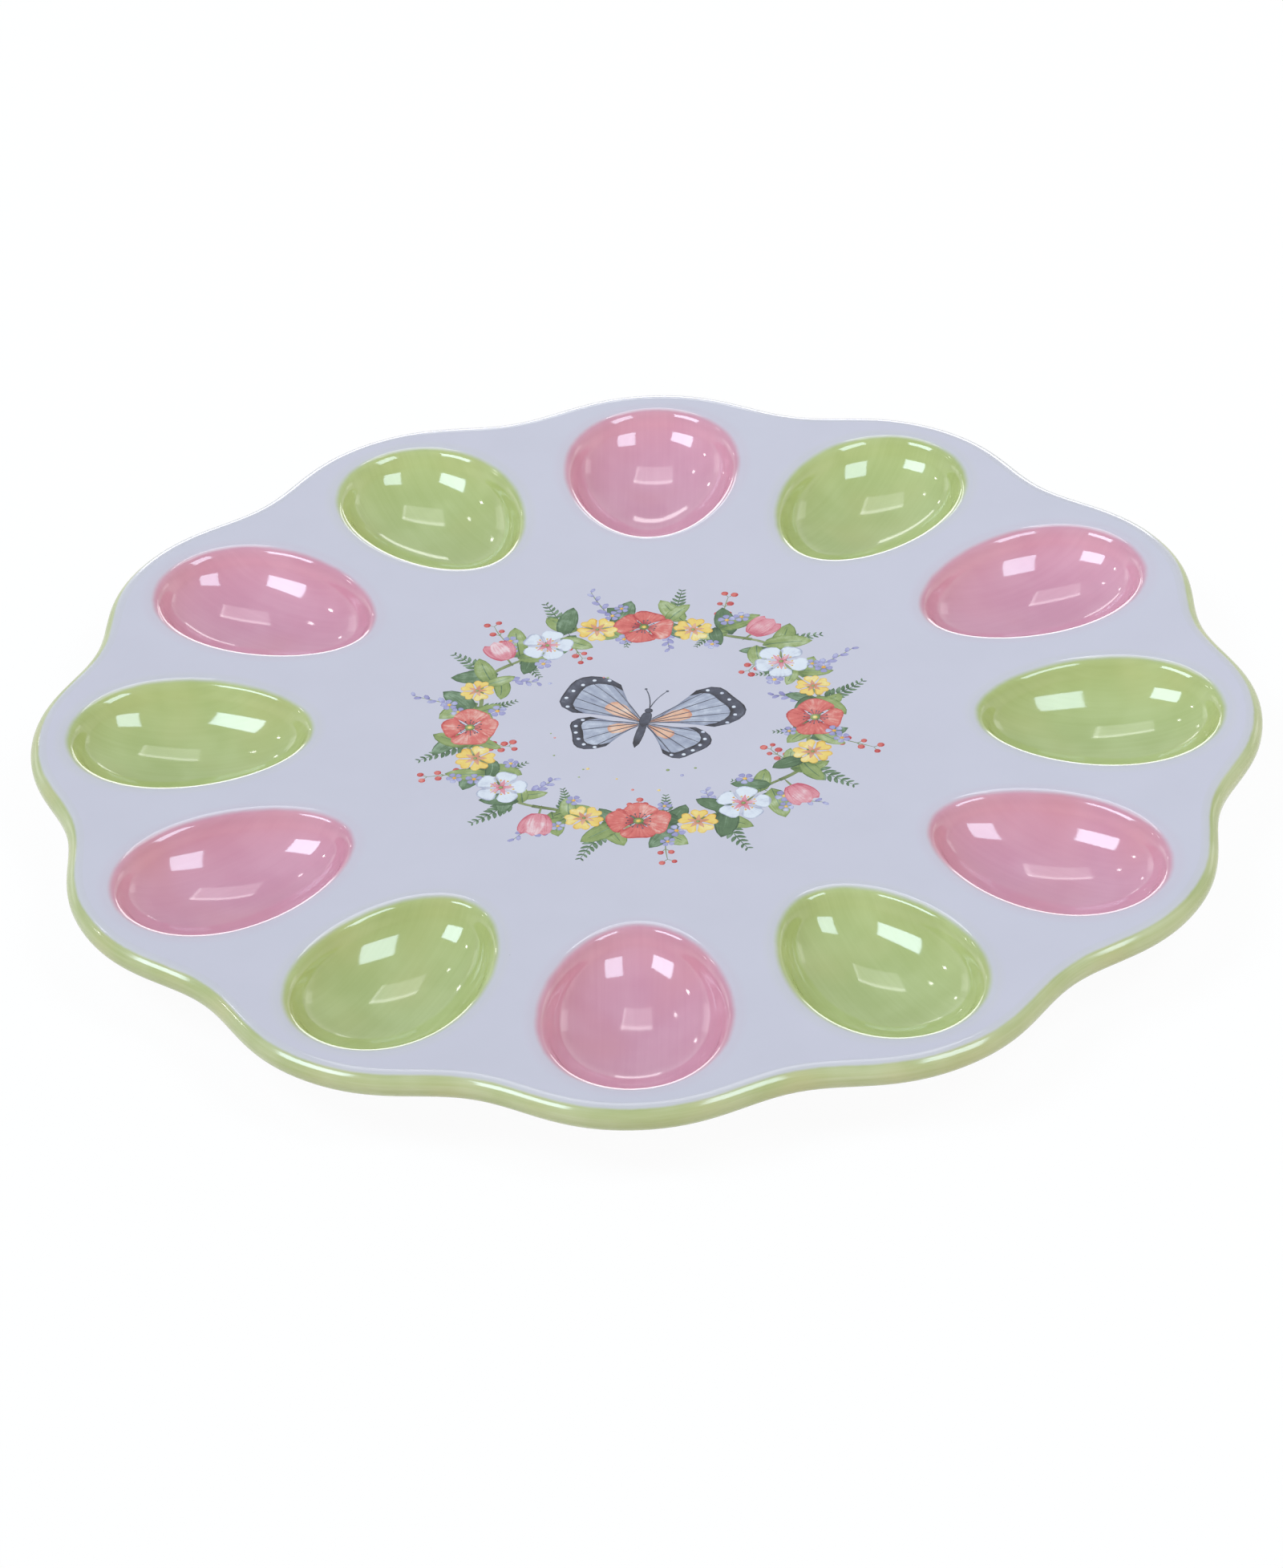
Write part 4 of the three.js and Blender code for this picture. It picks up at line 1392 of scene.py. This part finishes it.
COOL = (0.69, 0.85, 1.0)
panel("softbox_right", (0.791, -0.222, 1.368), (0.65, 0.956),
      (0.966, 0.202, -0.162), (-0.006, -0.608, -0.794), 5.5, COOL)
panel("softbox_left", (-1.3, -0.317, 1.948), (1.113, 1.059),
      (0.619, -0.653, 0.436), (-0.137, -0.637, -0.759), 7.2, COOL)
ALONG, ACROSS = (0.998, -0.043, 0.041), (0.048, 0.99, -0.133)  # the edges of the panel behind
panel("panel_behind", (-0.074, 1.159, 1.716), (0.74, 0.55), ALONG, ACROSS, 1.0)
panel("panel_behind_edge", (-0.063, 1.382, 1.68), (0.74, 0.1), ALONG, ACROSS, 2.0)
panel("panel_behind_side", (0.269, 1.143, 1.716), (0.05, 0.55), ALONG, ACROSS, 1.3)
panel("strip_low", (-0.1, 2.0, 0.25), (1.5, 0.4), (1, 0, 0), (0, 0, 1), 2.4)
panel("strip_left", (-1.53, 1.29, 0.55), (0.6, 0.4), (0.64, 0.77, 0), (0, 0, 1), 0.6)
panel("strip_right", (1.53, 1.29, 0.6), (0.5, 0.4), (0.64, -0.77, 0), (0, 0, 1), 0.7)
panel("bar_behind", (-0.03, 0.42, 0.143), (0.125, 0.021), (1, 0, 0), (0, 0, 1), 2.6)
SPARK_SIZE, SPARK_DISTANCE = (0.18, 0.18), 5
SPARKS = {(-0.729, 0.355, 0.585): 20.0, (-0.455, 0.553, 0.698): 8.0, (-0.52, 0.777, 0.355): 7.0}
for spark, (toward, radiance) in enumerate(SPARKS.items()):
    panel(f"spark_{spark + 1}", Vector(toward) * SPARK_DISTANCE, SPARK_SIZE, (toward[1], -toward[0], 0),
          (-toward[0] * toward[2], -toward[1] * toward[2], toward[0] ** 2 + toward[1] ** 2), radiance)

# %% [markdown]
# ## Camera
# The camera's place follows from where the twelve wells and the rim lie in the photograph. It could be moved
# by eye until the outline fits, but then no reflection would fall where it should. It looks down at 36
# degrees through a long lens and is rolled a few degrees, which is why the plate seems to lean.

# %% Camera
CAMERA_TARGET = (-0.00012, -0.02755, DECK * MM)
CAMERA_BACK = Vector((0.0401, -0.8064, 0.5900)).normalized()
CAMERA_DISTANCE = 1.4806
CAMERA_ROLL = math.radians(-3.06)
CAMERA_LENS = 133.0

camera_data = bpy.data.cameras.new("camera")
camera_data.lens = CAMERA_LENS
camera_data.sensor_width = 36.0
camera = add_object("camera", camera_data)
camera_right = Vector((0, 0, 1)).cross(CAMERA_BACK).normalized()
camera_turn = Matrix([camera_right, CAMERA_BACK.cross(camera_right), CAMERA_BACK]).transposed().to_4x4()
camera.matrix_world = (Matrix.Translation(Vector(CAMERA_TARGET) + CAMERA_BACK * CAMERA_DISTANCE)
                       @ camera_turn @ Matrix.Rotation(CAMERA_ROLL, 4, "Z"))
bpy.context.scene.camera = camera
bpy.context.scene.view_settings.view_transform = "Standard"
print("camera at", [round(value, 3) for value in camera.location])
